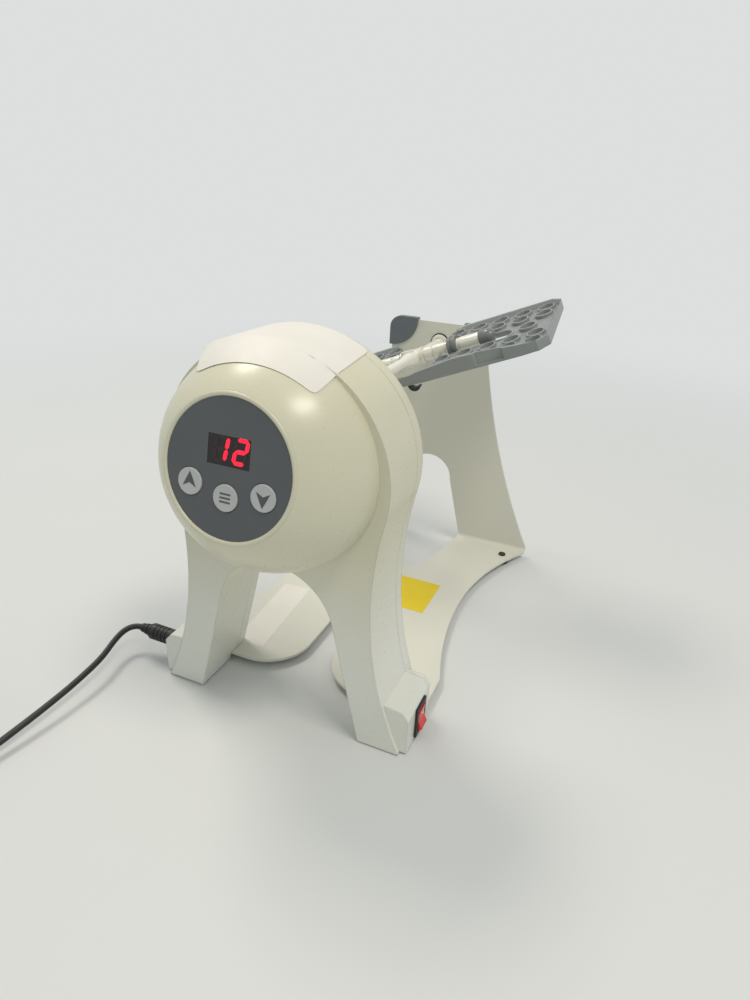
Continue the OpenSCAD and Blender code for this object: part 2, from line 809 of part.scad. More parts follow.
rocker_w = bezel_w - 5;
rocker_h = bezel_h - 6;
pivot_x = boss_x - 3;

module switch_body() placed() color([0.15, 0.15, 0.15]) difference() {
    translate([boss_x - 11, switch_y - bezel_w / 2 + 1.4, switch_z - bezel_h / 2 + 1.4])
        cube([11, bezel_w - 2.8, bezel_h - 2.8]);
    translate([pivot_x - 5, switch_y - rocker_w / 2 - 0.4, switch_z - rocker_h / 2 - 0.5])
        cube([20, rocker_w + 0.8, rocker_h + 1]);
}

// Rocker with two faces that meet at a shallow angle over its pivot.
module switch_rocker() placed() color("firebrick")
    translate([pivot_x, switch_y + rocker_w / 2, switch_z]) rotate([90, 0, 0]) {
        cylinder(r = 2.8, h = rocker_w);
        linear_extrude(rocker_w) rotate(rocker_swing) polygon([
            [-2, -1.5], [-2, 1.5], [1.5, rocker_h / 2 - 0.9], [6.2, rocker_h / 2 - 0.9],
            [4.6, 0], [6.2, -rocker_h / 2 + 0.9], [1.5, -rocker_h / 2 + 0.9]]);
    }

module dc_socket() placed() color([0.1, 0.1, 0.1])
    translate([-boss_x, jack_y, jack_z]) rotate([0, 90, 0]) difference() {
        cylinder(d = socket_d, h = 14);
        translate([0, 0, -1]) cylinder(d = 5.6, h = 11);
    }

module dc_plug() placed() color([0.08, 0.08, 0.08])
    translate([-boss_x, jack_y, jack_z]) rotate([0, -90, 0]) {
        difference() {
            union() {
                cylinder(d = plug_d - 1, h = 2);
                translate([0, 0, 2]) cylinder(d = plug_d, h = plug_len - 2);
            }
            for (i = [0:3]) translate([0, 0, 5 + i * 3]) difference() {
                cylinder(d = plug_d + 2, h = 1.2);
                cylinder(d = plug_d - 0.8, h = 1.2);
            }
        }
        translate([0, 0, -9]) cylinder(d = 5.5, h = 9 + eps);
    }

boot_len = 10;
module plug_boot() placed() color([0.08, 0.08, 0.08])
    translate([-boss_x - plug_len, jack_y, jack_z]) rotate([0, -90, 0]) {
        cylinder(d1 = plug_d - 3.5, d2 = cord_d + 1, h = boot_len);
        for (i = [0:2]) translate([0, 0, 1 + i * 3])
            cylinder(d = plug_d - 2.4 - 1.2 * i, h = 1.5);
    }

// ---- cord: from the plug's boot down to the bench, a coil and the adapter ----

CORD = [[-boss_x - plug_len - boot_len, jack_y, jack_z], [-119, 12.2, 18.7],
    [-122.4, 9.6, 18.2], [-124, 5.5, 17.6], [-124, 0, 17], [-122.5, -8, 16.3],
    [-120, -18, 15.5], [-118.5, -30, 14.5], [-118.5, -50, 12.5], [-120, -72, 10.5],
    [-123, -97, 8], [-127, -125, 5.5], [-132, -150, 3.6], [-137, -172, 2.4],
    [-138.5, -190, 2.1], [-138, -202, 2.1]];
tail_x = -192;
adapter_y = -155;
TAIL = [for (p = [[-47, 2.1], [-37, 2.1], [-27, 3], [-17, 6], [-8, 9], [0, 10]])
    [tail_x, adapter_y + p[0], p[1]]];
coil_at = [-165, -215];
coil_r = 22;
coil_w = 3 * cord_d;

// Catmull-Rom point between b and c.
function spline(a, b, c, d, t) = 0.5 * ((2 * b) + (c - a) * t
    + (2 * a - 5 * b + 4 * c - d) * t * t + (3 * b - a - 3 * c + d) * t * t * t);
function at(route, i) = route[min(max(i, 0), len(route) - 1)];
function smooth(route, steps) = concat(
    [for (i = [0:len(route) - 2], k = [0:steps - 1])
        spline(at(route, i - 1), route[i], route[i + 1], at(route, i + 2), k / steps)],
    [route[len(route) - 1]]);
function unit(v) = v / norm(v);
function ring(path, i, r, sides) =
    let (ahead = unit(at(path, i + 1) - at(path, i - 1)),
        side = unit(cross([0, 0, 1], ahead)),
        up = cross(ahead, side))
    [for (k = [0:sides - 1])
        path[i] + r * (cos(360 * k / sides) * side + sin(360 * k / sides) * up)];

// Closed tube of diameter d along a smoothed route.
module sweep(route, d, steps) {
    sides = 8;
    path = smooth(route, steps);
    n = len(path);
    points = [for (i = [0:n - 1]) each ring(path, i, d / 2, sides)];
    walls = [for (i = [0:n - 2], k = [0:sides - 1])
        [i * sides + k, i * sides + (k + 1) % sides,
            (i + 1) * sides + (k + 1) % sides, (i + 1) * sides + k]];
    polyhedron(points, concat(walls, [[for (k = [sides - 1:-1:0]) k]],
        [[for (k = [0:sides - 1]) (n - 1) * sides + k]]));
}

module supply_cord() placed() color([0.05, 0.05, 0.05]) {
    sweep(CORD, cord_d, 2);
    sweep(TAIL, cord_d, 2);
}

module cord_coil() placed() color([0.05, 0.05, 0.05]) translate([coil_at[0], coil_at[1], 0])
    rotate_extrude() translate([coil_r - coil_w / 2, 1.5]) square(coil_w);

module cord_tie() placed() color([0.1, 0.1, 0.1])
    translate([coil_at[0], coil_at[1] - coil_r, coil_w / 2 + 1.5]) difference() {
        cube([9, coil_w + 5, coil_w + 3], center = true);
        cube([12, coil_w + 3.4, coil_w + 0.4], center = true);
    }

adapter = [46, 66, 34];
module power_adapter() placed() color([0.06, 0.06, 0.06])
    translate([tail_x - adapter[0] / 2, adapter_y, 0]) {
        translate([0, 4, 0]) cube([adapter[0], adapter[1] - 4, adapter[2]]);
        translate([4, 0, 4]) cube([adapter[0] - 8, 6, adapter[2] - 8]);
    }

module adapter_pins() placed() color("silver")
    translate([tail_x, adapter_y + adapter[1], adapter[2] / 2])
        for (side = [-1, 1]) translate([side * 6.35 - 0.75, 0, -3.2]) cube([1.5, 17, 6.4]);

front_shell();
rear_cover();
control_panel();
display_window();
display_module();
key_up();
key_mode();
key_down();
circuit_board();
gear_motor();
motor_plate();
drive_bush();
cover_screws();
deck_stand();
corner_guards();
far_bush();
rubber_feet();
deck_screws();
switch_bezel();
switch_body();
switch_rocker();
dc_socket();
dc_plug();
plug_boot();
supply_cord();
cord_coil();
cord_tie();
power_adapter();
adapter_pins();
drive_shaft();
rotor();
rod_knobs();
paddle();
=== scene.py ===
# Dresses a bench tube rotator: moulded ABS drum and legs, powder-coated stand,
# printed panel with a lit display, tube paddle on its rod, and the supply cord.
import math
import bmesh
import bpy
from mathutils import Matrix, Vector
from mathutils.bvhtree import BVHTree


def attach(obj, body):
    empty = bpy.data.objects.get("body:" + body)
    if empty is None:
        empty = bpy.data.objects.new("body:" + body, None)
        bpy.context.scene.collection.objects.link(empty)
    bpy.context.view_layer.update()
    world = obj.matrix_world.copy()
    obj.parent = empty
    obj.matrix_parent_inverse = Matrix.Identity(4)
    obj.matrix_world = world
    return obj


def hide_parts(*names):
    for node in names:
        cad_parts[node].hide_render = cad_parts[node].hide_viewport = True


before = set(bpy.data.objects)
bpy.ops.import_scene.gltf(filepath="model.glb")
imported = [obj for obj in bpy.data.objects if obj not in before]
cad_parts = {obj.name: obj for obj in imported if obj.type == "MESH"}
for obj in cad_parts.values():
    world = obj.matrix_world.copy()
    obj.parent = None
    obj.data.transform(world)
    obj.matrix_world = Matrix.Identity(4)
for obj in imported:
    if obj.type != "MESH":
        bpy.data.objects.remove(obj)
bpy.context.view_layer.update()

MM = 0.001
TO_METRES = Matrix.Scale(MM, 4)
LEGS_FRONT = -0.115542  # the legs' front plane in the frame


def at(x, y, z):
    """A place in millimetres, with y counted back from the legs' front plane, in metres."""
    return Vector((x * MM, y * MM + LEGS_FRONT, z * MM))


# ---- camera ----

CAMERA_AT = (175.186, -283.707, 307.213)
CAMERA_TURN, CAMERA_TILT, CAMERA_ROLL = 0.387611, 0.442009, 0.052034  # radians
FILM_HEIGHT, FOCAL_SHARE = 36, 0.680  # the focal length is that share of the film's height


def place_camera():
    """The camera, in front of the rotator and to its right, looking down at it."""
    level, rise = math.cos(CAMERA_TILT), math.sin(CAMERA_TILT)
    right = Vector((math.cos(CAMERA_TURN), math.sin(CAMERA_TURN), 0))
    back = Vector((math.sin(CAMERA_TURN) * level, -math.cos(CAMERA_TURN) * level, rise))
    up = back.cross(right)
    across = math.cos(CAMERA_ROLL) * right + math.sin(CAMERA_ROLL) * up
    upward = -math.sin(CAMERA_ROLL) * right + math.cos(CAMERA_ROLL) * up
    data = bpy.data.cameras.new("camera")
    data.sensor_fit = "VERTICAL"
    data.sensor_height = FILM_HEIGHT
    data.lens = FILM_HEIGHT * FOCAL_SHARE
    data.clip_start = 0.01
    camera = bpy.data.objects.new("camera", data)
    bpy.context.collection.objects.link(camera)
    facing = Matrix((across, upward, back)).transposed().to_4x4()
    camera.matrix_world = Matrix.Translation(at(*CAMERA_AT)) @ facing
    bpy.context.scene.camera = camera


place_camera()


# ---- materials: sizes in millimetres ----

def colour(code):
    """An sRGB hex code as a linear colour."""
    parts = [int(code[i:i + 2], 16) / 255 for i in (1, 3, 5)]
    return tuple(p / 12.92 if p <= 0.04045 else ((p + 0.055) / 1.055) ** 2.4
                 for p in parts) + (1.0,)


def add(material, kind, settings=None, values=None, links=None):
    """Adds a node with its settings, its sockets' values and its links."""
    node = material.node_tree.nodes.new(kind)
    for name, value in (settings or {}).items():
        setattr(node, name, value)
    for name, value in (values or {}).items():
        node.inputs[name].default_value = value
    for name, socket in (links or {}).items():
        link(material, socket, node, name)
    return node


def link(material, socket, node, name):
    """Links an output socket to the node's input of that name or number."""
    material.node_tree.links.new(socket, node.inputs[name])


def new_material(name):
    """An empty material with its output, its shader and object coordinates."""
    material = bpy.data.materials.new(name)
    material.use_nodes = True
    material.node_tree.nodes.clear()
    place = add(material, "ShaderNodeTexCoord").outputs["Object"]
    shader = add(material, "ShaderNodeBsdfPrincipled")
    add(material, "ShaderNodeOutputMaterial", links={"Surface": shader.outputs[0]})
    return material, place, shader


def clouded(material, place, across, low, high, detail=3.0):
    """Two colours that drift into each other over patches of that size."""
    cloud = add(material, "ShaderNodeTexNoise",
                values={"Scale": 1 / (across * MM), "Detail": detail}, links={"Vector": place})
    return add(material, "ShaderNodeMix", {"data_type": "RGBA"},
               {6: colour(low), 7: colour(high)}, {0: cloud.outputs["Fac"]}).outputs[2]


def grained(material, place, shader, across, depth, rough):
    """Surface grain of that size and depth, with roughness that follows it."""
    grain = add(material, "ShaderNodeTexNoise",
                values={"Scale": 1 / (across * MM), "Detail": 4.0}, links={"Vector": place})
    spread = add(material, "ShaderNodeMapRange", values={"To Min": rough[0], "To Max": rough[1]},
                 links={"Value": grain.outputs["Fac"]})
    link(material, spread.outputs["Result"], shader, "Roughness")
    bump = add(material, "ShaderNodeBump", values={"Strength": 0.6, "Distance": depth * MM},
               links={"Height": grain.outputs["Fac"]})
    link(material, bump.outputs["Normal"], shader, "Normal")
    return bump


def rounded(material, bump, radius):
    """Shades sharp edges as if they had that radius, under the grain."""
    edge = add(material, "ShaderNodeBevel", {"samples": 6}, {"Radius": radius * MM})
    link(material, edge.outputs["Normal"], bump, "Normal")
    return edge.outputs["Normal"]


def painted_edge_highlight(material, tone, rolled, code, share):
    """Painted highlight: paler along the edges, where the rounded normal leans away from the true
    one.
    """
    true = add(material, "ShaderNodeNewGeometry").outputs["Normal"]
    lean = add(material, "ShaderNodeVectorMath", {"operation": "DOT_PRODUCT"},
               links={0: rolled, 1: true})
    highlight_mask = add(material, "ShaderNodeMapRange",
               values={"From Min": 0.98, "From Max": 0.80, "To Min": 0.0, "To Max": share},
               links={"Value": lean.outputs["Value"]})
    return add(material, "ShaderNodeMix", {"data_type": "RGBA"}, {7: colour(code)},
               {0: highlight_mask.outputs["Result"], 6: tone}).outputs[2]


def gloss_abs():
    """Cream ABS, injection moulded in a polished tool: glossy; darker and yellower on the drum as
    painted shade, paler on the legs as painted light.
    """
    material, place, shader = new_material("cream_abs_moulded")
    pale = clouded(material, place, 60, "#E1E2D6", "#E9EAE1")
    drum_shaded_tone = clouded(material, place, 45, "#D3D0B4", "#DBD8C1")
    height = add(material, "ShaderNodeSeparateXYZ", links={"Vector": place})
    # painted shade by height: darker and yellower from 40 mm above the bench, and fully from 150
    # mm, with painted light keeping the legs paler below
    light_and_shade_by_height = add(material, "ShaderNodeMapRange", {"interpolation_type": "SMOOTHSTEP"},
                 {"From Min": 0.04, "From Max": 0.15}, {"Value": height.outputs["Z"]})
    tone = add(material, "ShaderNodeMix", {"data_type": "RGBA"}, None,
               {0: light_and_shade_by_height.outputs["Result"], 6: pale, 7: drum_shaded_tone})
    # specks of dirt about 5 mm apart
    specks = add(material, "ShaderNodeTexNoise",
                 values={"Scale": 1 / (5 * MM), "Detail": 6.0, "Roughness": 0.7},
                 links={"Vector": place})
    dirt = add(material, "ShaderNodeMapRange",
               values={"From Min": 0.68, "From Max": 0.84, "To Min": 0.0, "To Max": 0.16},
               links={"Value": specks.outputs["Fac"]})
    soiled = add(material, "ShaderNodeMix", {"data_type": "RGBA"}, {7: colour("#B2AC92")},
                 {0: dirt.outputs["Result"], 6: tone.outputs[2]})
    link(material, soiled.outputs[2], shader, "Base Color")
    # faint flow ripple of the moulding, about 2.5 mm from crest to crest
    bump = grained(material, place, shader, 2.5, 0.012, (0.24, 0.34))
    rounded(material, bump, 1.4)
    shader.inputs["IOR"].default_value = 1.54
    return material


def white_abs():
    """Off-white ABS, moulded in a polished tool: brighter and glossier than the housing."""
    material, place, shader = new_material("off_white_rotor_abs")
    link(material, clouded(material, place, 30, "#E6E4D5", "#EEECE0"), shader, "Base Color")
    bump = grained(material, place, shader, 2, 0.01, (0.12, 0.22))
    rounded(material, bump, 0.8)
    shader.inputs["IOR"].default_value = 1.54
    return material


def powder_coat():
    """Polyester powder coat, baked on sheet steel: off-white, semi-gloss with an orange peel."""
    material, place, shader = new_material("cream_powder_coat")
    link(material, clouded(material, place, 90, "#D8D7C9", "#E0DFD4"), shader, "Base Color")
    # orange peel about 1.1 mm across
    grained(material, place, shader, 1.1, 0.05, (0.34, 0.50))
    shader.inputs["IOR"].default_value = 1.50
    return material


def printed_overlay():
    """Polycarbonate film printed dark grey on its back: matt, with a fine velvet grain."""
    material, place, shader = new_material("dark_grey_overlay_film")
    link(material, clouded(material, place, 30, "#4D5154", "#55595B"), shader, "Base Color")
    # velvet grain, drawn 0.5 mm wide so that it shows
    grained(material, place, shader, 0.5, 0.03, (0.42, 0.58))
    shader.inputs["IOR"].default_value = 1.58
    return material


def smoked_lens():
    """Smoked acrylic over the display, cast and polished: nearly black and glossy."""
    material, place, shader = new_material("smoked_acrylic_lens")
    link(material, clouded(material, place, 12, "#140D0D", "#1D1112"), shader, "Base Color")
    grained(material, place, shader, 4, 0.01, (0.08, 0.16))
    shader.inputs["IOR"].default_value = 1.49
    return material


def lit_segment(name, code, strength):
    """Display segment of diffusing epoxy over a diode: even red light from its face."""
    material, place, shader = new_material(name)
    link(material, clouded(material, place, 3, code, code), shader, "Base Color")
    shader.inputs["Emission Color"].default_value = colour(code)
    shader.inputs["Emission Strength"].default_value = strength
    shader.inputs["Roughness"].default_value = 0.4
    return material


def matt_abs(name, low, high, rough=(0.42, 0.60), highlit_edge=None):
    """ABS moulded in a spark-eroded tool: an even, fine-grained surface, 0.8 mm from pit to pit.

    Where an edge radius is given, edges look rounded to that radius and are painted paler there as
    a highlight.
    """
    material, place, shader = new_material(name)
    tone = clouded(material, place, 45, low, high)
    link(material, tone, shader, "Base Color")
    bump = grained(material, place, shader, 0.8, 0.04, rough)
    if highlit_edge:
        rolled = rounded(material, bump, highlit_edge)
        # painted highlight: the edges are mixed towards pale grey
        link(material, painted_edge_highlight(material, tone, rolled, "#C4C8C7", 0.75), shader, "Base Color")
    shader.inputs["IOR"].default_value = 1.53
    return material


def soft_vinyl(name, low, high):
    """Plasticised PVC, dipped or extruded: dark, with a dull waxy sheen."""
    material, place, shader = new_material(name)
    link(material, clouded(material, place, 20, low, high), shader, "Base Color")
    grained(material, place, shader, 1.2, 0.03, (0.38, 0.55))
    shader.inputs["Sheen Weight"].default_value = 0.08
    return material


def zinc_plate():
    """Steel with bright zinc plating: cool grey metal with faint drawing lines."""
    material, place, shader = new_material("zinc_plated_steel")
    drawn = add(material, "ShaderNodeMapping", values={"Scale": (1.0, 0.05, 1.0)},
                links={"Vector": place})
    tone = clouded(material, drawn.outputs["Vector"], 0.6, "#A8ABAD", "#C2C4C5")
    link(material, tone, shader, "Base Color")
    grained(material, place, shader, 1.5, 0.02, (0.26, 0.42))
    shader.inputs["Metallic"].default_value = 1.0
    return material


def red_rocker():
    """Translucent red polycarbonate with a lamp behind it: glossy and glowing faintly."""
    material, place, shader = new_material("red_polycarbonate_rocker")
    link(material, clouded(material, place, 6, "#A81A16", "#C4241C"), shader, "Base Color")
    grained(material, place, shader, 2, 0.02, (0.14, 0.26))
    shader.inputs["Emission Color"].default_value = colour("#D02018")
    shader.inputs["Emission Strength"].default_value = 0.18
    shader.inputs["IOR"].default_value = 1.58
    return material


def coated_paper(name, low, high):
    """Coated label paper, die cut and rolled on: satin, with slight cockle."""
    material, place, shader = new_material(name)
    link(material, clouded(material, place, 18, low, high, 6.0), shader, "Base Color")
    grained(material, place, shader, 6, 0.12, (0.40, 0.62))
    shader.inputs["IOR"].default_value = 1.46
    return material


def circuit_laminate():
    """Glass epoxy laminate under green solder mask: satin with a faint weave."""
    material, place, shader = new_material("green_circuit_laminate")
    link(material, clouded(material, place, 4, "#164A2C", "#1D5C38"), shader, "Base Color")
    grained(material, place, shader, 0.6, 0.02, (0.30, 0.45))
    return material


CREAM = gloss_abs()
COAT = powder_coat()
ROTOR_ABS = white_abs()
OVERLAY = printed_overlay()
LENS = smoked_lens()
LIT = lit_segment("segment_lit", "#FF1230", 1.5)
UNLIT = matt_abs("segment_unlit", "#241112", "#2C1415")
KEYCAP = matt_abs("light_grey_key_abs", "#B4B6B5", "#C0C2C1")
KEY_INK = matt_abs("dark_grey_key_ink", "#4A4D4F", "#525557")
# the paddle's edges get a painted highlight
PADDLE_ABS = matt_abs("grey_paddle_abs", "#878C8C", "#959998", (0.30, 0.46), highlit_edge=0.6)
KNOB_ABS = matt_abs("grey_knob_abs", "#666868", "#8A8C8A", (0.14, 0.30))
NYLON = matt_abs("black_nylon_moulded", "#1B1C1D", "#242526")
GUARD = soft_vinyl("charcoal_edge_guard_vinyl", "#61686E", "#6E757A")
CORD_PVC = soft_vinyl("black_cord_pvc", "#111112", "#1A1A1B")
RUBBER = soft_vinyl("black_foot_rubber", "#161617", "#202021")
ZINC = zinc_plate()
ROCKER = red_rocker()
WHITE_PAPER = coated_paper("white_label_paper", "#E4E0D6", "#EEEBE3")
YELLOW_PAPER = coated_paper("yellow_label_paper", "#E2C61E", "#EDD42F")
OLD_PAPER = coated_paper("aged_label_paper", "#DCD8C8", "#E6E3D6")
WHITE_INK = matt_abs("white_pad_print_ink", "#D8D8D4", "#E2E2DE")
BOARD = circuit_laminate()

# every node has its finish, those that a modelled piece stands for too
NODE_FINISH = {
    "front_shell": CREAM, "rear_cover": CREAM, "rotor": CREAM, "control_panel": OVERLAY,
    "display_window": LENS, "display_module": NYLON, "circuit_board": BOARD,
    "gear_motor": ZINC, "motor_plate": ZINC, "cover_screws": ZINC, "deck_screws": ZINC,
    "drive_shaft": ZINC, "adapter_pins": ZINC, "drive_bush": NYLON, "far_bush": NYLON,
    "switch_bezel": NYLON, "switch_body": NYLON, "dc_socket": NYLON, "deck_stand": COAT,
    "corner_guards": GUARD, "rubber_feet": RUBBER, "dc_plug": CORD_PVC, "plug_boot": CORD_PVC,
    "rod_knobs": KNOB_ABS, "paddle": PADDLE_ABS, "key_up": KEYCAP, "key_mode": KEYCAP,
    "key_down": KEYCAP, "switch_rocker": ROCKER, "power_adapter": NYLON, "cord_tie": NYLON,
    "cord_coil": CORD_PVC, "supply_cord": CORD_PVC,
}
for node_name, finish in NODE_FINISH.items():
    node_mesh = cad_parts[node_name].data
    node_mesh.materials.clear()
    node_mesh.materials.append(finish)


# ---- supply cord: points given in millimetres ----

CORD_D = 4
LEAD = [(-115, 13, 19), (-119, 12.2, 18.7), (-122.4, 9.6, 18.2), (-124, 5.5, 17.6), (-124, 0, 17),
        (-122.5, -8, 16.3), (-120, -18, 15.5), (-118.5, -30, 14.5), (-118.5, -50, 12.5),
        (-120, -72, 10.5), (-123, -97, 8), (-127, -125, 5.5), (-132, -150, 3.6), (-137, -172, 2.4),
        (-138.5, -190, 2.1), (-138, -202, 2.1)]
TAIL = [(-192, -202, 2.1), (-192, -192, 2.1), (-192, -182, 3), (-192, -172, 6), (-192, -163, 9),
        (-192, -155, 10)]
COIL_AT = (-165, -215)
COIL_START = 25.7  # degrees, where the lead runs in
COIL_SWEEP = 8 * 360 + 231.7  # degrees, wound clockwise from there
COIL_STEP = 24  # degrees from point to point
# radius and height of each turn, three wide and three high, and of the last turn's end
COIL_LAY = [(26, 3.5), (26, 7.5), (26, 11.5), (22, 11.5), (22, 7.5), (22, 3.5), (18, 3.5),
            (18, 7.5), (18, 11.5), (18, 11.5)]
CHANGE_FROM, CHANGE_OVER = 0.75, 0.25  # share of a turn after which it steps over to the next
RUN_IN, RUN_IN_WIDER, RUN_IN_LOWER = 60, 4, 1.4  # degrees, mm, mm
RUN_OUT, RUN_OUT_WIDER, HUMP, DROP = 110, 12, 4.3, 7.0  # degrees, mm, mm, mm
DROP_FROM, DROP_OVER = 0.55, 0.45  # share of the run out after which it comes down


def smooth_route(points, steps):
    """Points along a smooth curve through the given ones."""
    last = len(points) - 1
    route = []
    for i in range(last):
        a, b, c, d = points[max(i - 1, 0)], points[i], points[i + 1], points[min(i + 2, last)]
        for k in range(steps):
            t = k / steps
            route.append(0.5 * (2 * b + (c - a) * t + (2 * a - 5 * b + 4 * c - d) * t * t
                                + (3 * b - a - 3 * c + d) * t ** 3))
    return route + [points[last]]


def coil_points():
    """The coil's turns, from the outside in, and the last one's way out over the others."""
    points = []
    count = int(COIL_SWEEP / COIL_STEP)
    for k in range(1, count):
        angle = COIL_SWEEP * k / count
        turn = int(angle / 360)
        share = min(max((angle / 360 - turn - CHANGE_FROM) / CHANGE_OVER, 0), 1)
        (radius, height), (next_radius, next_height) = COIL_LAY[turn:turn + 2]
        radius += (next_radius - radius) * share
        height += (next_height - height) * share
        leaving = max(0, (angle - COIL_SWEEP + RUN_OUT) / RUN_OUT)
        if leaving:
            radius, height = COIL_LAY[-1]
            radius += RUN_OUT_WIDER * leaving ** 1.5
            height += HUMP * math.sin(math.pi * min(leaving * 1.1, 1))
            height -= DROP * max(0, leaving - DROP_FROM) / DROP_OVER
        entering = max(0, 1 - angle / RUN_IN)
        radius += RUN_IN_WIDER * entering ** 2
        height -= RUN_IN_LOWER * entering
        way = math.radians(COIL_START - angle)
        points.append((COIL_AT[0] + radius * math.cos(way),
                       COIL_AT[1] + radius * math.sin(way), height))
    return points


def supply_lead():
    """The cord as one curve, from the plug's boot through the coil to the adapter."""
    route = smooth_route([at(*p) for p in LEAD + coil_points() + TAIL], 3)
    for place in route:
        place.z = max(place.z, CORD_D / 2 * MM)  # it rests on the bench
    curve = bpy.data.curves.new("supply_lead", "CURVE")
    curve.dimensions = "3D"
    curve.bevel_depth = CORD_D / 2 * MM
    curve.bevel_resolution = 4
    curve.use_fill_caps = True
    spline = curve.splines.new("POLY")
    spline.points.add(len(route) - 1)
    for point, place in zip(spline.points, route):
        point.co = (*place, 1)
    spline.use_smooth = True
    cord = bpy.data.objects.new("supply_lead", curve)
    bpy.context.collection.objects.link(cord)
    curve.materials.append(CORD_PVC)
    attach(cord, "stand_body")
    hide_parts("supply_cord", "cord_coil")
    return cord, sum((b - a).length for a, b in zip(route, route[1:]))


lead, lead_length = supply_lead()


# ---- modelling helpers ----

# The panel's place has z out of the panel. The rotor's and the paddle's have zero at the
# hub, x along the cross rod and y back along the spindle.
PANEL_AT, PANEL_LEAN = (0, -39.2, 180.2), 11.2
HUB_AT, ROD_TURN, PADDLE_TILT = (0, 210, 183), 22.9, 11
PANEL = Matrix.Translation(at(*PANEL_AT)) @ Matrix.Rotation(math.radians(90 - PANEL_LEAN), 4, "X")
STILL = Matrix.Translation(at(*HUB_AT))
ROTOR = STILL @ Matrix.Rotation(math.radians(-ROD_TURN), 4, "Y")
PADDLE = ROTOR @ Matrix.Rotation(math.radians(PADDLE_TILT), 4, "X")


def begin():
    """Leaves everything deselected in object mode, ready for a new primitive."""
    if bpy.context.object and bpy.context.object.mode != "OBJECT":
        bpy.ops.object.mode_set(mode="OBJECT")
    bpy.ops.object.select_all(action="DESELECT")


def pick(test):
    """In edit mode, selects the faces that pass the test, and no others."""
    bpy.ops.mesh.select_mode(type="FACE")
    bpy.ops.mesh.select_all(action="DESELECT")
    shape = bmesh.from_edit_mesh(bpy.context.object.data)
    for face in shape.faces:
        face.select_set(bool(test(face)))
    bmesh.update_edit_mesh(bpy.context.object.data)


def size(x, y, z):
    """Scales the selection of a unit primitive to millimetres."""
    bpy.ops.transform.resize(value=(x * MM, y * MM, z * MM))


def soften(piece, width, segments=3, angle=30, unit=MM):
    """Rounds the edges sharper than the angle, by a width in the unit, and applies it."""
    modifier = piece.modifiers.new("soften", "BEVEL")
    modifier.width = width * unit
    modifier.segments = segments
    modifier.limit_method = "ANGLE"
    modifier.angle_limit = math.radians(angle)
    modifier.harden_normals = False
    bpy.context.view_layer.objects.active = piece
    bpy.ops.object.modifier_apply(modifier=modifier.name)


def seat(piece, name, material, body, matrix=None, smooth=30):
    """Puts the piece's place in its mesh, names and dresses it, and makes it ride."""
    if bpy.context.object and bpy.context.object.mode != "OBJECT":
        bpy.ops.object.mode_set(mode="OBJECT")
    piece.data.transform((matrix or Matrix()) @ piece.matrix_world)
    piece.matrix_world = Matrix()
    piece.name = name
    piece.data.name = name
    piece.data.materials.clear()
    piece.data.materials.append(material)
    bpy.ops.object.select_all(action="DESELECT")
    piece.select_set(True)
    bpy.context.view_layer.objects.active = piece
    bpy.ops.object.shade_smooth_by_angle(angle=math.radians(smooth))
    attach(piece, body)
    return piece


def block(extent, centre=(0, 0, 0)):
    """A block of that size and place in millimetres, left in edit mode."""
    begin()
    bpy.ops.mesh.primitive_cube_add(size=1, location=[c * MM for c in centre])
    form = bpy.context.object
    bpy.ops.object.mode_set(mode="EDIT")
    size(*extent)
    return form


# ---- panel: millimetres from its centre, with y up the panel ----

LIP_R, LIP_HALF, LIP_FLATTENED = 35.95, 1.2, 0.62
KEY_R, KEY_DEPTH, KEY_MIDDLE = 6.75, 3.5, -0.85
KEY_OUT, KEY_Y, MENU_Y = 20.5, -9.3, -13.6
ARROW_R, ARROW_NOTCH, INK_T = 4.0, 1.6, 0.08
ARROW_STRETCH = Matrix.Diagonal((1.12, 1.30, 1, 1))
ARROW_Z, MENU_BAR_Z = 0.70, 0.72
MENU_BAR, MENU_PITCH = (6.0, 0.9, 0.12), 2.0


def panel_lip():
    """The thin rounded lip that stands proud round the overlay."""
    begin()
    bpy.ops.mesh.primitive_torus_add(major_radius=LIP_R * MM, minor_radius=LIP_HALF * MM,
                                     major_segments=128, minor_segments=16)
    ring = bpy.context.object
    bpy.ops.object.mode_set(mode="EDIT")
    bpy.ops.transform.resize(value=(1, 1, LIP_FLATTENED))
    seat(ring, "panel_lip", CREAM, "stand_body", PANEL, 60)


def keycap(name, x, y, node_name, body):
    """A round key with a rolled edge and a faintly dished top."""
    begin()
    bpy.ops.mesh.primitive_cylinder_add(vertices=64, radius=KEY_R * MM, depth=KEY_DEPTH * MM,
                                        location=(x * MM, y * MM, KEY_MIDDLE * MM))
    cap = bpy.context.object
    bpy.ops.object.mode_set(mode="EDIT")
    pick(lambda face: face.normal.z > 0.9)
    for inset, sunk in ((1.2, 0.12), (3.0, 0.10)):
        bpy.ops.mesh.inset(thickness=inset * MM)
        bpy.ops.transform.translate(value=(0, 0, -sunk * MM))
    bpy.ops.object.mode_set(mode="OBJECT")
    soften(cap, 0.45, 4, 50)
    seat(cap, name, KEYCAP, body, PANEL, 40)
    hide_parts(node_name)


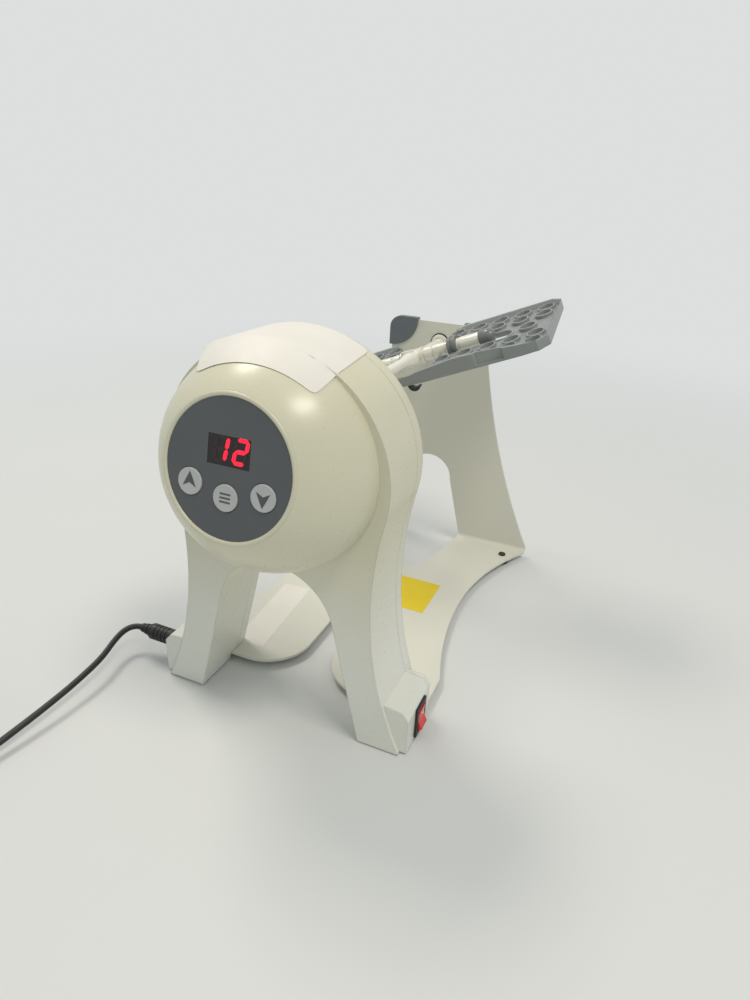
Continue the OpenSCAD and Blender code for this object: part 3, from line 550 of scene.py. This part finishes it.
def key_arrow(name, x, y, turn_deg, body):
    """A notched arrowhead, printed on a key."""
    begin()
    bpy.ops.mesh.primitive_circle_add(vertices=3, radius=ARROW_R * MM, fill_type="NGON")
    mark = bpy.context.object
    bpy.ops.object.mode_set(mode="EDIT")
    bpy.ops.mesh.select_mode(type="EDGE")
    bpy.ops.mesh.select_all(action="DESELECT")
    shape = bmesh.from_edit_mesh(mark.data)
    low = min(shape.edges, key=lambda e: (e.verts[0].co + e.verts[1].co).y)
    low.select_set(True)
    bmesh.update_edit_mesh(mark.data)
    bpy.ops.mesh.subdivide(number_cuts=1)
    bpy.ops.mesh.select_mode(type="VERT")
    shape = bmesh.from_edit_mesh(mark.data)
    for vert in shape.verts:
        vert.select_set(abs(vert.co.x) < 0.1 * MM and vert.co.y < 0)
    bmesh.update_edit_mesh(mark.data)
    bpy.ops.transform.translate(value=(0, ARROW_NOTCH * MM, 0))
    bpy.ops.mesh.select_mode(type="FACE")
    bpy.ops.mesh.select_all(action="SELECT")
    bpy.ops.mesh.extrude_region_move(TRANSFORM_OT_translate={"value": (0, 0, INK_T * MM)})
    bpy.ops.mesh.select_all(action="SELECT")
    bpy.ops.mesh.normals_make_consistent()
    bpy.ops.object.mode_set(mode="OBJECT")
    place = PANEL @ Matrix.Translation((x * MM, y * MM, ARROW_Z * MM)) \
        @ Matrix.Rotation(math.radians(turn_deg), 4, "Z") @ ARROW_STRETCH
    seat(mark, name, KEY_INK, body, place)


def menu_bar(name, y, body):
    """One bar of the menu mark on the middle key."""
    bar = block(MENU_BAR, (0, y, MENU_BAR_Z))
    bpy.ops.object.mode_set(mode="OBJECT")
    soften(bar, 0.25, 3)
    seat(bar, name, KEY_INK, body, PANEL)


panel_lip()
keycap("keycap_up", -KEY_OUT, KEY_Y, "key_up", "key_up_body")
keycap("keycap_menu", 0, MENU_Y, "key_mode", "key_mode_body")
keycap("keycap_down", KEY_OUT, KEY_Y, "key_down", "key_down_body")
key_arrow("arrow_up", -KEY_OUT, KEY_Y, 0, "key_up_body")
key_arrow("arrow_down", KEY_OUT, KEY_Y, 180, "key_down_body")
for index in range(3):
    menu_bar(f"menu_bar_{index + 1}", MENU_Y + (index - 1) * MENU_PITCH, "key_mode_body")


# ---- display ----

DIGIT_W, DIGIT_H, DIGIT_Y = 5.9, 11.2, 9.6
SEGMENT_W, SEGMENT_T, SEGMENT_GAP, SEGMENT_Z = 1.9, 0.12, 0.35, -0.12
SEGMENT_TIP = 0.12  # width left at a bar's point, as a share of the bar's
SLANT = math.tan(math.radians(9))
ITALIC = Matrix(((1, SLANT, 0, 0), (0, 1, 0, 0), (0, 0, 1, 0), (0, 0, 0, 1)))
DIGITS = {"tens": (-5.9, "bc"), "units": (4.9, "abged")}  # centre and lit bars
SEGMENTS = {  # centre of each bar as shares of width and height, and whether it is upright
    "a": (0, 0.5, False), "b": (0.5, 0.25, True), "c": (0.5, -0.25, True), "d": (0, -0.5, False),
    "e": (-0.5, -0.25, True), "f": (-0.5, 0.25, True), "g": (0, 0, False),
}


def segment_bar(name, x, y, upright, material):
    """One bar of a digit, pointed at both ends."""
    length = (DIGIT_H / 2 if upright else DIGIT_W) - SEGMENT_GAP
    bar = block((length - SEGMENT_W, SEGMENT_W, SEGMENT_T))
    for side in (-1, 1):
        pick(lambda face: face.normal.x * side > 0.9)
        bpy.ops.mesh.extrude_region_move(
            TRANSFORM_OT_translate={"value": (side * SEGMENT_W / 2 * MM, 0, 0)})
        bpy.ops.transform.resize(value=(1, SEGMENT_TIP, 1))
    bpy.ops.object.mode_set(mode="OBJECT")
    place = PANEL @ ITALIC @ Matrix.Translation((x * MM, y * MM, SEGMENT_Z * MM)) \
        @ Matrix.Rotation(math.radians(90 if upright else 0), 4, "Z")
    seat(bar, name, material, "stand_body", place)


for digit, (centre, lit) in DIGITS.items():
    for letter, (across_share, up_share, upright) in SEGMENTS.items():
        segment_bar(f"segment_{digit}_{letter}", centre + across_share * DIGIT_W,
                    DIGIT_Y + up_share * DIGIT_H, upright, LIT if letter in lit else UNLIT)


# ---- paddle and rotor, shaped in millimetres and brought to metres when seated ----

def solid(centre, extent):
    """A block for a piece that is still in millimetres."""
    begin()
    bpy.ops.mesh.primitive_cube_add(size=1)
    form = bpy.context.object
    bpy.ops.object.mode_set(mode="EDIT")
    bpy.ops.transform.resize(value=extent)
    bpy.ops.transform.translate(value=centre)
    bpy.ops.object.mode_set(mode="OBJECT")
    return form


def turned(profile, along="Z", centre=(0, 0, 0), sides=64):
    """A turned form: a circle extruded and scaled through (distance, radius) along its axis."""
    begin()
    start, radius = profile[0]
    bpy.ops.mesh.primitive_circle_add(vertices=sides, radius=radius, fill_type="NGON",
                                      location=(0, 0, start))
    form = bpy.context.object
    form.data.transform(form.matrix_world)
    form.matrix_world = Matrix()
    bpy.ops.object.mode_set(mode="EDIT")
    bpy.ops.mesh.select_all(action="SELECT")
    for reach, wide in profile[1:]:
        bpy.ops.mesh.extrude_region_move(
            TRANSFORM_OT_translate={"value": (0, 0, reach - start)})
        bpy.ops.transform.resize(value=(wide / radius, wide / radius, 1),
                                 center_override=(0, 0, reach))
        start, radius = reach, wide
    bpy.ops.mesh.select_all(action="SELECT")
    bpy.ops.mesh.normals_make_consistent()
    bpy.ops.object.mode_set(mode="OBJECT")
    swing = {"Z": Matrix(), "X": Matrix.Rotation(math.radians(90), 4, "Y"),
             "Y": Matrix.Rotation(math.radians(-90), 4, "X")}[along]
    form.data.transform(Matrix.Translation(centre) @ swing)
    return form


def combine(base, other, how):
    """Joins a form to the base or cuts it away, and drops it."""
    cut = base.modifiers.new("combine", "BOOLEAN")
    cut.operation = how
    cut.solver = "EXACT"
    cut.object = other
    bpy.context.view_layer.objects.active = base
    bpy.ops.object.modifier_apply(modifier=cut.name)
    bpy.data.objects.remove(other)


def together(forms):
    """Joins forms that don't touch into one object."""
    begin()
    for form in forms:
        form.select_set(True)
    bpy.context.view_layer.objects.active = forms[0]
    bpy.ops.object.join()
    return forms[0]


def mirrored(form):
    """A copy of a form on the other side of the rotor's axis."""
    twin = form.copy()
    twin.data = form.data.copy()
    bpy.context.collection.objects.link(twin)
    twin.data.transform(Matrix.Diagonal((-1, 1, 1, 1)))
    twin.data.flip_normals()
    return twin


PADDLE_W, TRAY_START, TRAY_END = 86, 25, 110.5
RIM_TOP, FLOOR_TOP, FLOOR_UNDER, WALL_FOOT = 1.2, -2.8, -4.8, -6.4
RIM_T, SKIRT_T = 2.0, 2.4  # wall above and below the floor
END_CUT, HUB_ROUND = 7.071, 9  # cut off each side of an end corner, radius beside the hub
COLLAR = [(-6.3, 6.65), (-0.7, 6.65), (-0.3, 6.35)]
TUBE_HOLE = [(-9, 5.5), (2, 5.5)]
TUBE_FIRST, TUBE_PITCH, TUBE_ROWS = 28.4, 17.7, (-33.3, -19.7, 19.7, 33.3)
TUBES = [(TUBE_FIRST + TUBE_PITCH * i, v, 0) for i in range(5) for v in TUBE_ROWS]
TUBES += [(TUBE_FIRST + TUBE_PITCH * 3.5, 0, 0)]
SLOT_END, SLOT_R, SLOT_START, SLOT_FOOT, SLOT_TOP = 70, 8.2, 22, -9, 4
KERB_R, KERB_START, KERB_FOOT, KERB_TOP = 9.8, 25.2, -5.9, -2.0


def bevel_uprights(form, chosen, offset, parts):
    """In edit mode, chamfers or rounds the upright edges whose place passes the test."""
    shape = bmesh.from_edit_mesh(form.data)
    bpy.ops.mesh.select_mode(type="EDGE")
    bpy.ops.mesh.select_all(action="DESELECT")
    for edge in shape.edges:
        a, b = (vert.co for vert in edge.verts)
        edge.select_set((a - b).xy.length < 0.01 and chosen(a))
    bmesh.update_edit_mesh(form.data)
    bpy.ops.mesh.bevel(offset=offset, offset_type="OFFSET", segments=parts)


def slot_form(radius, start, foot, top):
    """A block with one round end, as long as the rod's slot."""
    form = turned([(foot, radius), (top, radius)], centre=(SLOT_END, 0, 0))
    straight = solid(((start + SLOT_END) / 2, 0, (foot + top) / 2),
                     (SLOT_END - start, 2 * radius, top - foot))
    combine(form, straight, "UNION")
    return form


def tray():
    """Half of the paddle: a walled tray with a chamfered end, collared holes and a slot."""
    begin()
    bpy.ops.mesh.primitive_cube_add(size=1)
    half = bpy.context.object
    bpy.ops.object.mode_set(mode="EDIT")
    bpy.ops.transform.resize(value=(TRAY_END - TRAY_START, PADDLE_W, RIM_TOP - WALL_FOOT))
    bpy.ops.transform.translate(value=((TRAY_START + TRAY_END) / 2, 0, (RIM_TOP + WALL_FOOT) / 2))
    bevel_uprights(half, lambda v: v.x > TRAY_END - 1, END_CUT, 1)
    bevel_uprights(half, lambda v: v.x < TRAY_START + 1 and v.y > 0, HUB_ROUND, 8)
    pick(lambda face: face.normal.z > 0.9)
    bpy.ops.mesh.inset(thickness=RIM_T)
    bpy.ops.transform.translate(value=(0, 0, FLOOR_TOP - RIM_TOP))
    pick(lambda face: face.normal.z < -0.9)
    bpy.ops.mesh.inset(thickness=SKIRT_T)
    bpy.ops.transform.translate(value=(0, 0, FLOOR_UNDER - WALL_FOOT))
    bpy.ops.object.mode_set(mode="OBJECT")
    collars = together([turned(COLLAR, centre=c, sides=48) for c in TUBES])
    combine(half, collars, "UNION")
    combine(half, slot_form(KERB_R, KERB_START, KERB_FOOT, KERB_TOP), "UNION")
    holes = together([turned(TUBE_HOLE, centre=c, sides=48) for c in TUBES])
    combine(half, holes, "DIFFERENCE")
    combine(half, slot_form(SLOT_R, SLOT_START, SLOT_FOOT, SLOT_TOP), "DIFFERENCE")
    return half


RIB_HALF, RIB_T, RIB_STEPS = 100.5, 2.6, 40
RIB_CROWN = [(0, 0.4), (9, 0.4), (13, 1.6), (44, 4.4), (66, 3.6), (RIB_HALF, 0.4)]
RIB_FOOT = [(0, -6.0), (20, -6.8), (92.5, -6.8), (RIB_HALF, -6.4)]
POCKET_AT, POCKET_Z, POCKET = 70, -0.2, (20, 3.2, 10.0)


def height_on(line, distance):
    """The height of a bent line at that distance from its start."""
    for (u0, n0), (u1, n1) in zip(line, line[1:]):
        if u0 <= distance <= u1 + 0.01:
            return n0 + (n1 - n0) * (distance - u0) / (u1 - u0)


def long_rib():
    """The crowned rib along the drum's side, dipped at the spindle."""
    begin()
    bpy.ops.mesh.primitive_grid_add(x_subdivisions=RIB_STEPS, y_subdivisions=1, size=1)
    rib = bpy.context.object
    for vert in rib.data.vertices:
        u = vert.co.x * 2 * RIB_HALF
        line = RIB_CROWN if vert.co.y > 0 else RIB_FOOT
        vert.co = (u, -PADDLE_W / 2, height_on(line, abs(u)))
    bpy.ops.object.mode_set(mode="EDIT")
    bpy.ops.mesh.select_all(action="SELECT")
    bpy.ops.mesh.extrude_region_move(TRANSFORM_OT_translate={"value": (0, RIB_T, 0)})
    bpy.ops.mesh.select_all(action="SELECT")
    bpy.ops.mesh.normals_make_consistent()
    bpy.ops.object.mode_set(mode="OBJECT")
    return rib


def paddle():
    """The tube paddle: two trays joined by the long rib, with a finger pocket on each side."""
    body = tray()
    left = mirrored(body)
    rib = long_rib()
    combine(body, left, "UNION")
    combine(body, rib, "UNION")
    for side in (-1, 1):
        pocket = solid((side * POCKET_AT, -PADDLE_W / 2, POCKET_Z), POCKET)
        combine(body, pocket, "DIFFERENCE")
    soften(body, 0.22, 2, 50, 1)
    seat(body, "tube_paddle", PADDLE_ABS, "paddle_body", PADDLE @ TO_METRES, 35)
    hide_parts("paddle")


CLIP = [(30.3, 7.3), (30.7, 7.7), (33.4, 7.7), (33.5, 7.2), (34.2, 7.2), (34.3, 7.7), (36.9, 7.7),
        (37.3, 7.3)]
CLIP_MIDDLE, CLIP_BORE = 33.8, [(26, 5.2), (42, 5.2)]
CLIP_FOOT_Z, CLIP_FOOT = -3.6, (7.0, 19.4, 3.2)
CLIP_MOUTH_Z, CLIP_MOUTH = -8.5, (9, 8.4, 9)


def clips():
    """The glossy rings that snap round the cross rod, with their feet on the plate."""
    pair = []
    for side in (-1, 1):
        ring = turned([(side * u, r) for u, r in CLIP], "X")
        combine(ring, solid((side * CLIP_MIDDLE, 0, CLIP_FOOT_Z), CLIP_FOOT), "UNION")
        combine(ring, turned([(side * u, r) for u, r in CLIP_BORE], "X"), "DIFFERENCE")
        combine(ring, solid((side * CLIP_MIDDLE, 0, CLIP_MOUTH_Z), CLIP_MOUTH), "DIFFERENCE")
        pair.append(ring)
    pair = together(pair)
    soften(pair, 0.2, 2, 50, 1)
    seat(pair, "rod_clips", KNOB_ABS, "paddle_body", PADDLE @ TO_METRES, 40)


HOOK_AT, HOOK_Z = 11, -6.9
HOOK_RING, HOOK_BORE = [(-43, 4.8), (-38, 4.8)], [(-45, 2.6), (-30, 2.6)]
HOOK_ROOM_AT, HOOK_ROOM = (0, -40, -0.6), (20, 12, 11)  # what is cut away above it
HOOK_MOUTH_AT, HOOK_MOUTH = (3.5, -40, -7.5), (4, 12, 3)


def hooks():
    """The small open hooks under the rib, either side of the middle, dressed black as painted
    shade for the shadow under the rib.
    """
    pair = []
    for side in (-1, 1):
        centre = (side * HOOK_AT, 0, HOOK_Z)
        hook = turned(HOOK_RING, "Y", centre)
        combine(hook, turned(HOOK_BORE, "Y", centre), "DIFFERENCE")
        for (u, y, z), extent in ((HOOK_ROOM_AT, HOOK_ROOM), (HOOK_MOUTH_AT, HOOK_MOUTH)):
            combine(hook, solid((side * (HOOK_AT + u), y, z), extent), "DIFFERENCE")
        pair.append(hook)
    pair = together(pair)
    soften(pair, 0.2, 2, 50, 1)
    # black here is painted shade for the hooks' shadow
    seat(pair, "rib_hooks", NYLON, "paddle_body", PADDLE @ TO_METRES, 40)


ROD_R, GROOVE_R, NECK_R, RING_R = 5.1, 4.6, 4.7, 6.6
ROD_HALF = [(0, 5.6), (4, 5.8), (7, 6.2), (8.2, RING_R), (9.0, RING_R), (9.1, NECK_R),
            (10, NECK_R), (10.1, 5.2), (16.8, ROD_R), (16.9, GROOVE_R), (17.9, GROOVE_R),
            (18.0, ROD_R), (37.6, ROD_R), (37.7, GROOVE_R), (39, GROOVE_R), (39.1, ROD_R),
            (56.5, ROD_R)]
SPINDLE = [(-159.5, 8.6), (-159.1, 9.0), (-148, 9.0), (-147.5, 8.6), (-142, 4.9), (-60, 4.2),
           (-26, 4.1), (-20, 4.7), (-8, 6.5), (0, 6.2), (8, 5.8), (16, 4.3), (56.5, 4.2),
           (56.6, 4.0), (67.5, 4.0)]
BOSS_AT = (-1, -8, 0)
BOSS, RECESS = [(0, 5.0), (6.9, 5.0), (7.2, 4.7)], [(5.2, 3.7), (9, 3.7)]


def rotor():
    """The spindle, its waisted hub and the ringed cross rod, moulded in one."""
    rod = turned([(-u, r) for u, r in reversed(ROD_HALF)] + ROD_HALF[1:], "X")
    combine(rod, turned(SPINDLE, "Y"), "UNION")
    combine(rod, turned(BOSS, centre=BOSS_AT), "UNION")
    combine(rod, turned(RECESS, centre=BOSS_AT), "DIFFERENCE")
    soften(rod, 0.12, 2, 50, 1)
    seat(rod, "rotor_moulding", ROTOR_ABS, "rotor_body", ROTOR @ TO_METRES, 40)
    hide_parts("rotor")


KNOB_START, DOME_AT, DOME_R, DOME_TIP = [(54.6, 5.3), (55.4, 5.9)], 61, 6.0, 0.4


def knobs():
    """The domed ends of the cross rod."""
    arc = [math.radians(a) for a in range(0, 90, 10)]
    dome = [(DOME_AT + DOME_R * math.sin(a), DOME_R * math.cos(a)) for a in arc]
    knob = KNOB_START + dome + [(DOME_AT + DOME_R, DOME_TIP)]
    ends = together([turned([(side * u, r) for u, r in knob], "X") for side in (-1, 1)])
    seat(ends, "rod_end_knobs", KNOB_ABS, "rotor_body", ROTOR @ TO_METRES, 50)
    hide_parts("rod_knobs")


LINER = [(61.7, 7.9), (62.5, 8.2), (62.6, 7.5), (64.4, 7.5), (64.5, 9.0), (66.2, 9.0), (66.5, 8.7)]
DISC = [(61.0, 6.8), (61.3, 7.2), (61.7, 7.2)]
BUSH_BORE = [(50, 4.2), (80, 4.2)]


def bush():
    """The far bush: a pale disc on a flanged liner dressed black, so that its rim shows as a thin
    dark ring of painted shade round the disc.
    """
    liner = turned(LINER, "Y")
    combine(liner, turned(BUSH_BORE, "Y"), "DIFFERENCE")
    # black here is painted shade for the gap round the disc
    seat(liner, "far_liner", NYLON, "stand_body", STILL @ TO_METRES, 40)
    disc = turned(DISC, "Y")
    combine(disc, turned(BUSH_BORE, "Y"), "DIFFERENCE")
    seat(disc, "far_disc", ROTOR_ABS, "stand_body", STILL @ TO_METRES, 40)
    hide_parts("far_bush")


paddle()
clips()
hooks()
rotor()
knobs()
bush()


# ---- labels ----

def surface_of(*names):
    """The shown surface of some nodes, for laying a label on it."""
    points, faces = [], []
    for name in names:
        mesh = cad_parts[name].data
        start = len(points)
        points += [v.co.copy() for v in mesh.vertices]
        faces += [[start + i for i in p.vertices] for p in mesh.polygons]
    return BVHTree.FromPolygons(points, faces)


DRUM, DRUM_AXIS_Z = surface_of("front_shell", "rear_cover"), 165.7
LABEL_LIFT, LABEL_T, LABEL_CORNER = 0.25, 0.12, 0.08  # mm, mm, share of a side
LIFT_OVER = 20  # mm behind the front edge over which a label comes to its full rise
LIFT_CURVE = 1.6  # how fast the rise fades from the left edge to the right


def between(start, end, share):
    """The value at that share of the way."""
    return start * (1 - share) + end * share


def drum_label(name, material, corners, rise, columns=72, rows=48):
    """A paper label laid over drum and bowl.

    Its corners are given as (degrees from the top, mm from the legs' front). It lies close at
    its right edge and stands off by rise mm at its left edge.
    """
    begin()
    bpy.ops.mesh.primitive_grid_add(x_subdivisions=columns, y_subdivisions=rows, size=1)
    sheet = bpy.context.object
    (a0, y0), (a1, y1), (a2, y2), (a3, y3) = corners
    for vert in sheet.data.vertices:
        s, t = vert.co.x + 0.5, vert.co.y + 0.5
        centre_s = min(max(s, LABEL_CORNER), 1 - LABEL_CORNER)
        centre_t = min(max(t, LABEL_CORNER), 1 - LABEL_CORNER)
        past = math.hypot(s - centre_s, t - centre_t)
        if past > LABEL_CORNER:
            s = centre_s + (s - centre_s) * LABEL_CORNER / past
            t = centre_t + (t - centre_t) * LABEL_CORNER / past
        angle = math.radians(between(between(a0, a1, s), between(a3, a2, s), t))
        y = between(between(y0, y1, s), between(y3, y2, s), t)
        out = Vector((math.sin(angle), 0, math.cos(angle)))
        hit = DRUM.ray_cast(at(0, y, DRUM_AXIS_Z) + out * 0.1, -out)[0]
        full = min(max((y - y0) / LIFT_OVER, 0), 1)
        vert.co = hit + out * (LABEL_LIFT + rise * (1 - s) ** LIFT_CURVE * full) * MM
    bend = sheet.modifiers.new("bend", "SMOOTH")
    bend.factor = 0.5
    bend.iterations = 8
    bpy.ops.object.modifier_apply(modifier=bend.name)
    paper = sheet.modifiers.new("paper", "SOLIDIFY")
    paper.thickness = LABEL_T * MM
    paper.offset = 1
    bpy.ops.object.modifier_apply(modifier=paper.name)
    seat(sheet, name, material, "stand_body", None, 50)


drum_label("label_white", WHITE_PAPER, [(-30, -21), (34.5, -18), (30, 45), (-34.5, 45)], 4.3)
drum_label("label_old", OLD_PAPER, [(-58, 4), (-38, 2), (-37, 16), (-57, 17)], 0, 24, 16)

DECK_PAPER_T, DECK_PAPER_Z = 0.14, 6.58  # just above the deck


def deck_label(name, material, x0, y0, x1, y1, turn_deg=0):
    """A paper label stuck flat on the deck."""
    paper = block((x1 - x0, y1 - y0, DECK_PAPER_T))
    bpy.ops.object.mode_set(mode="OBJECT")
    place = Matrix.Translation(at((x0 + x1) / 2, (y0 + y1) / 2, DECK_PAPER_Z)) \
        @ Matrix.Rotation(math.radians(turn_deg), 4, "Z")
    soften(paper, 0.04, 1)
    seat(paper, name, material, "stand_body", place)


deck_label("deck_label_white", WHITE_PAPER, -63, 44, -41, 125, 4)
deck_label("deck_label_yellow", YELLOW_PAPER, -12, 136, 48, 180)


# ---- power pieces ----

ROCKER_SIZE, ROCKER_AT, ROCKER_REST = (4.6, 9.9, 13.2), (83, 23, 13.7), -8
ROCKER_OUT, ROCKER_DISH = 2.5, 1.6  # its place out from the pivot, its ends past its middle
DISH_CURVE = 1.4  # how late the dish rises towards the ends
RING_MARK_R, RING_MARK_T, RING_MARK_AT, RING_MARK_LEAN = 1.5, 0.22, (5.62, 0, 4.3), 76
ADAPTER_SIZE, ADAPTER_AT = (46, 66, 34), (-192, -122, 17)
GROOVE_FROM, GROOVE_TO, GROOVE_DEPTH = 10, 10.8, 0.5
TIE_SIZE, TIE_T, TIE_AT = (9, 17, 15), 1.0, (-165, -237, 7.5)


def rocker():
    """A rocker with two dished faces, rounded edges and a ring mark."""
    body = block(ROCKER_SIZE)
    bpy.ops.mesh.select_all(action="SELECT")
    bpy.ops.mesh.subdivide(number_cuts=7)
    shape = bmesh.from_edit_mesh(body.data)
    half_height = ROCKER_SIZE[2] / 2 * MM
    for vert in shape.verts:
        if vert.co.x > (ROCKER_SIZE[0] / 2 - 0.1) * MM:  # the outer face
            vert.co.x += (abs(vert.co.z / half_height) ** DISH_CURVE * ROCKER_DISH - 0.1) * MM
    bmesh.update_edit_mesh(body.data)
    bpy.ops.object.mode_set(mode="OBJECT")
    soften(body, 0.4, 3, 50)
    place = Matrix.Translation(at(*ROCKER_AT)) \
        @ Matrix.Rotation(math.radians(ROCKER_REST), 4, "Y")
    seat(body, "rocker_cap", ROCKER, "rocker_body",
         place @ Matrix.Translation((ROCKER_OUT * MM, 0, 0)), 50)
    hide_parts("switch_rocker")
    begin()
    bpy.ops.mesh.primitive_torus_add(major_radius=RING_MARK_R * MM, minor_radius=RING_MARK_T * MM,
                                     major_segments=36, minor_segments=8)
    ring = bpy.context.object
    bpy.ops.object.mode_set(mode="EDIT")
    bpy.ops.transform.resize(value=(1, 1, 0.4))
    tip = place @ Matrix.Translation([c * MM for c in RING_MARK_AT]) \
        @ Matrix.Rotation(math.radians(RING_MARK_LEAN), 4, "Y")
    seat(ring, "rocker_ring_mark", WHITE_INK, "rocker_body", tip, 60)


def adapter():
    """The plug-in supply: a block with rolled edges and a parting groove round it."""
    case = block(ADAPTER_SIZE)
    for edge in (GROOVE_FROM, GROOVE_TO):
        bpy.ops.mesh.select_all(action="SELECT")
        bpy.ops.mesh.bisect(plane_co=(0, edge * MM, 0), plane_no=(0, 1, 0))
    middle = (GROOVE_FROM + GROOVE_TO) / 2 * MM
    pick(lambda face: abs(face.calc_center_median().y - middle) < 0.2 * MM)
    bpy.ops.mesh.extrude_region_shrink_fatten(
        TRANSFORM_OT_shrink_fatten={"value": -GROOVE_DEPTH * MM})
    bpy.ops.object.mode_set(mode="OBJECT")
    soften(case, 3.0, 5, 60)
    seat(case, "adapter_case", NYLON, "stand_body",
         Matrix.Translation(at(*ADAPTER_AT)), 40)
    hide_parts("power_adapter")
    return case


def tie():
    """The moulded strap that holds the coil."""
    strap = block(TIE_SIZE)
    pick(lambda face: abs(face.normal.x) > 0.9)
    bpy.ops.mesh.inset(thickness=TIE_T * MM)
    bpy.ops.mesh.bridge_edge_loops()
    bpy.ops.object.mode_set(mode="OBJECT")
    soften(strap, 0.5, 3, 50)
    seat(strap, "cord_strap", NYLON, "stand_body",
         Matrix.Translation(at(*TIE_AT)), 40)
    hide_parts("cord_tie")
    return strap


rocker()
on_the_lead = [adapter(), tie(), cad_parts["adapter_pins"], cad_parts["dc_plug"],
               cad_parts["plug_boot"]]


# ---- floor, backdrop and light: in metres ----

BACKDROP = "#DCDFDE"
FLOOR_ACROSS, FADE_FROM, FADE_TO = 16, 0.25, 1.2
LAMP_SIZE, LAMP_AIM, LAMP_TINT = (0.7, 0.4), (0, 0, 0.1), "#FFF8EC"


def seen(tree_owner):
    """1 for rays that show the background: from the camera, off gloss or through glass."""
    path = add(tree_owner, "ShaderNodeLightPath").outputs
    either = add(tree_owner, "ShaderNodeMath", {"operation": "MAXIMUM"},
                 links={0: path["Is Camera Ray"], 1: path["Is Glossy Ray"]})
    return add(tree_owner, "ShaderNodeMath", {"operation": "MAXIMUM"},
               links={0: either.outputs[0], 1: path["Is Transmission Ray"]}).outputs[0]


def plain_ground():
    """A pale matt floor that fades into the backdrop's colour away from the object."""
    begin()
    bpy.ops.mesh.primitive_plane_add(size=1)
    floor = bpy.context.object
    bpy.ops.object.mode_set(mode="EDIT")
    bpy.ops.transform.resize(value=(FLOOR_ACROSS, FLOOR_ACROSS, 1))
    bpy.ops.object.mode_set(mode="OBJECT")
    floor.name = "floor"
    material, place, shader = new_material("pale_floor")
    link(material, clouded(material, place, 500, "#D6D8D7", "#DDDFDE"), shader, "Base Color")
    shader.inputs["Roughness"].default_value = 0.65
    distance = add(material, "ShaderNodeVectorMath", {"operation": "LENGTH"}, links={0: place})
    fade = add(material, "ShaderNodeMapRange", {"interpolation_type": "SMOOTHSTEP"},
               {"From Min": FADE_FROM, "From Max": FADE_TO}, {"Value": distance.outputs["Value"]})
    share = add(material, "ShaderNodeMath", {"operation": "MULTIPLY"},
                links={0: fade.outputs["Result"], 1: seen(material)})
    plain = add(material, "ShaderNodeEmission", values={"Color": colour(BACKDROP)})
    output = shader.outputs[0].links[0].to_node
    mixed = add(material, "ShaderNodeMixShader",
                links={0: share.outputs[0], 1: shader.outputs[0], 2: plain.outputs[0]})
    link(material, mixed.outputs[0], output, "Surface")
    floor.data.materials.append(material)


def lamp(name, place, power):
    """A broad warm lamp under the ceiling, turned to the object."""
    data = bpy.data.lights.new(name, "AREA")
    data.shape = "RECTANGLE"
    data.size, data.size_y = LAMP_SIZE
    data.energy = power
    data.color = colour(LAMP_TINT)[:3]
    light = bpy.data.objects.new(name, data)
    bpy.context.collection.objects.link(light)
    light.location = place
    facing = Vector(LAMP_AIM) - Vector(place)
    light.rotation_euler = facing.to_track_quat("-Z", "Y").to_euler()


def pale_room():
    """A room's soft light all round, with the backdrop where the background shows."""
    world = bpy.data.worlds.new("room")
    world.use_nodes = True
    world.node_tree.nodes.clear()
    room = add(world, "ShaderNodeBackground",
               values={"Color": colour("#E9EEF0"), "Strength": 0.55})
    behind = add(world, "ShaderNodeBackground", values={"Color": colour(BACKDROP)})
    mixed = add(world, "ShaderNodeMixShader",
                links={0: seen(world), 1: room.outputs[0], 2: behind.outputs[0]})
    add(world, "ShaderNodeOutputWorld", links={"Surface": mixed.outputs[0]})
    bpy.context.scene.world = world


plain_ground()
lamp("ceiling_panel_left", (-0.9, 0.3, 1.7), 12)
lamp("ceiling_panel_right", (0.8, -0.4, 1.8), 13)
pale_room()
bpy.context.scene.view_settings.view_transform = "Standard"
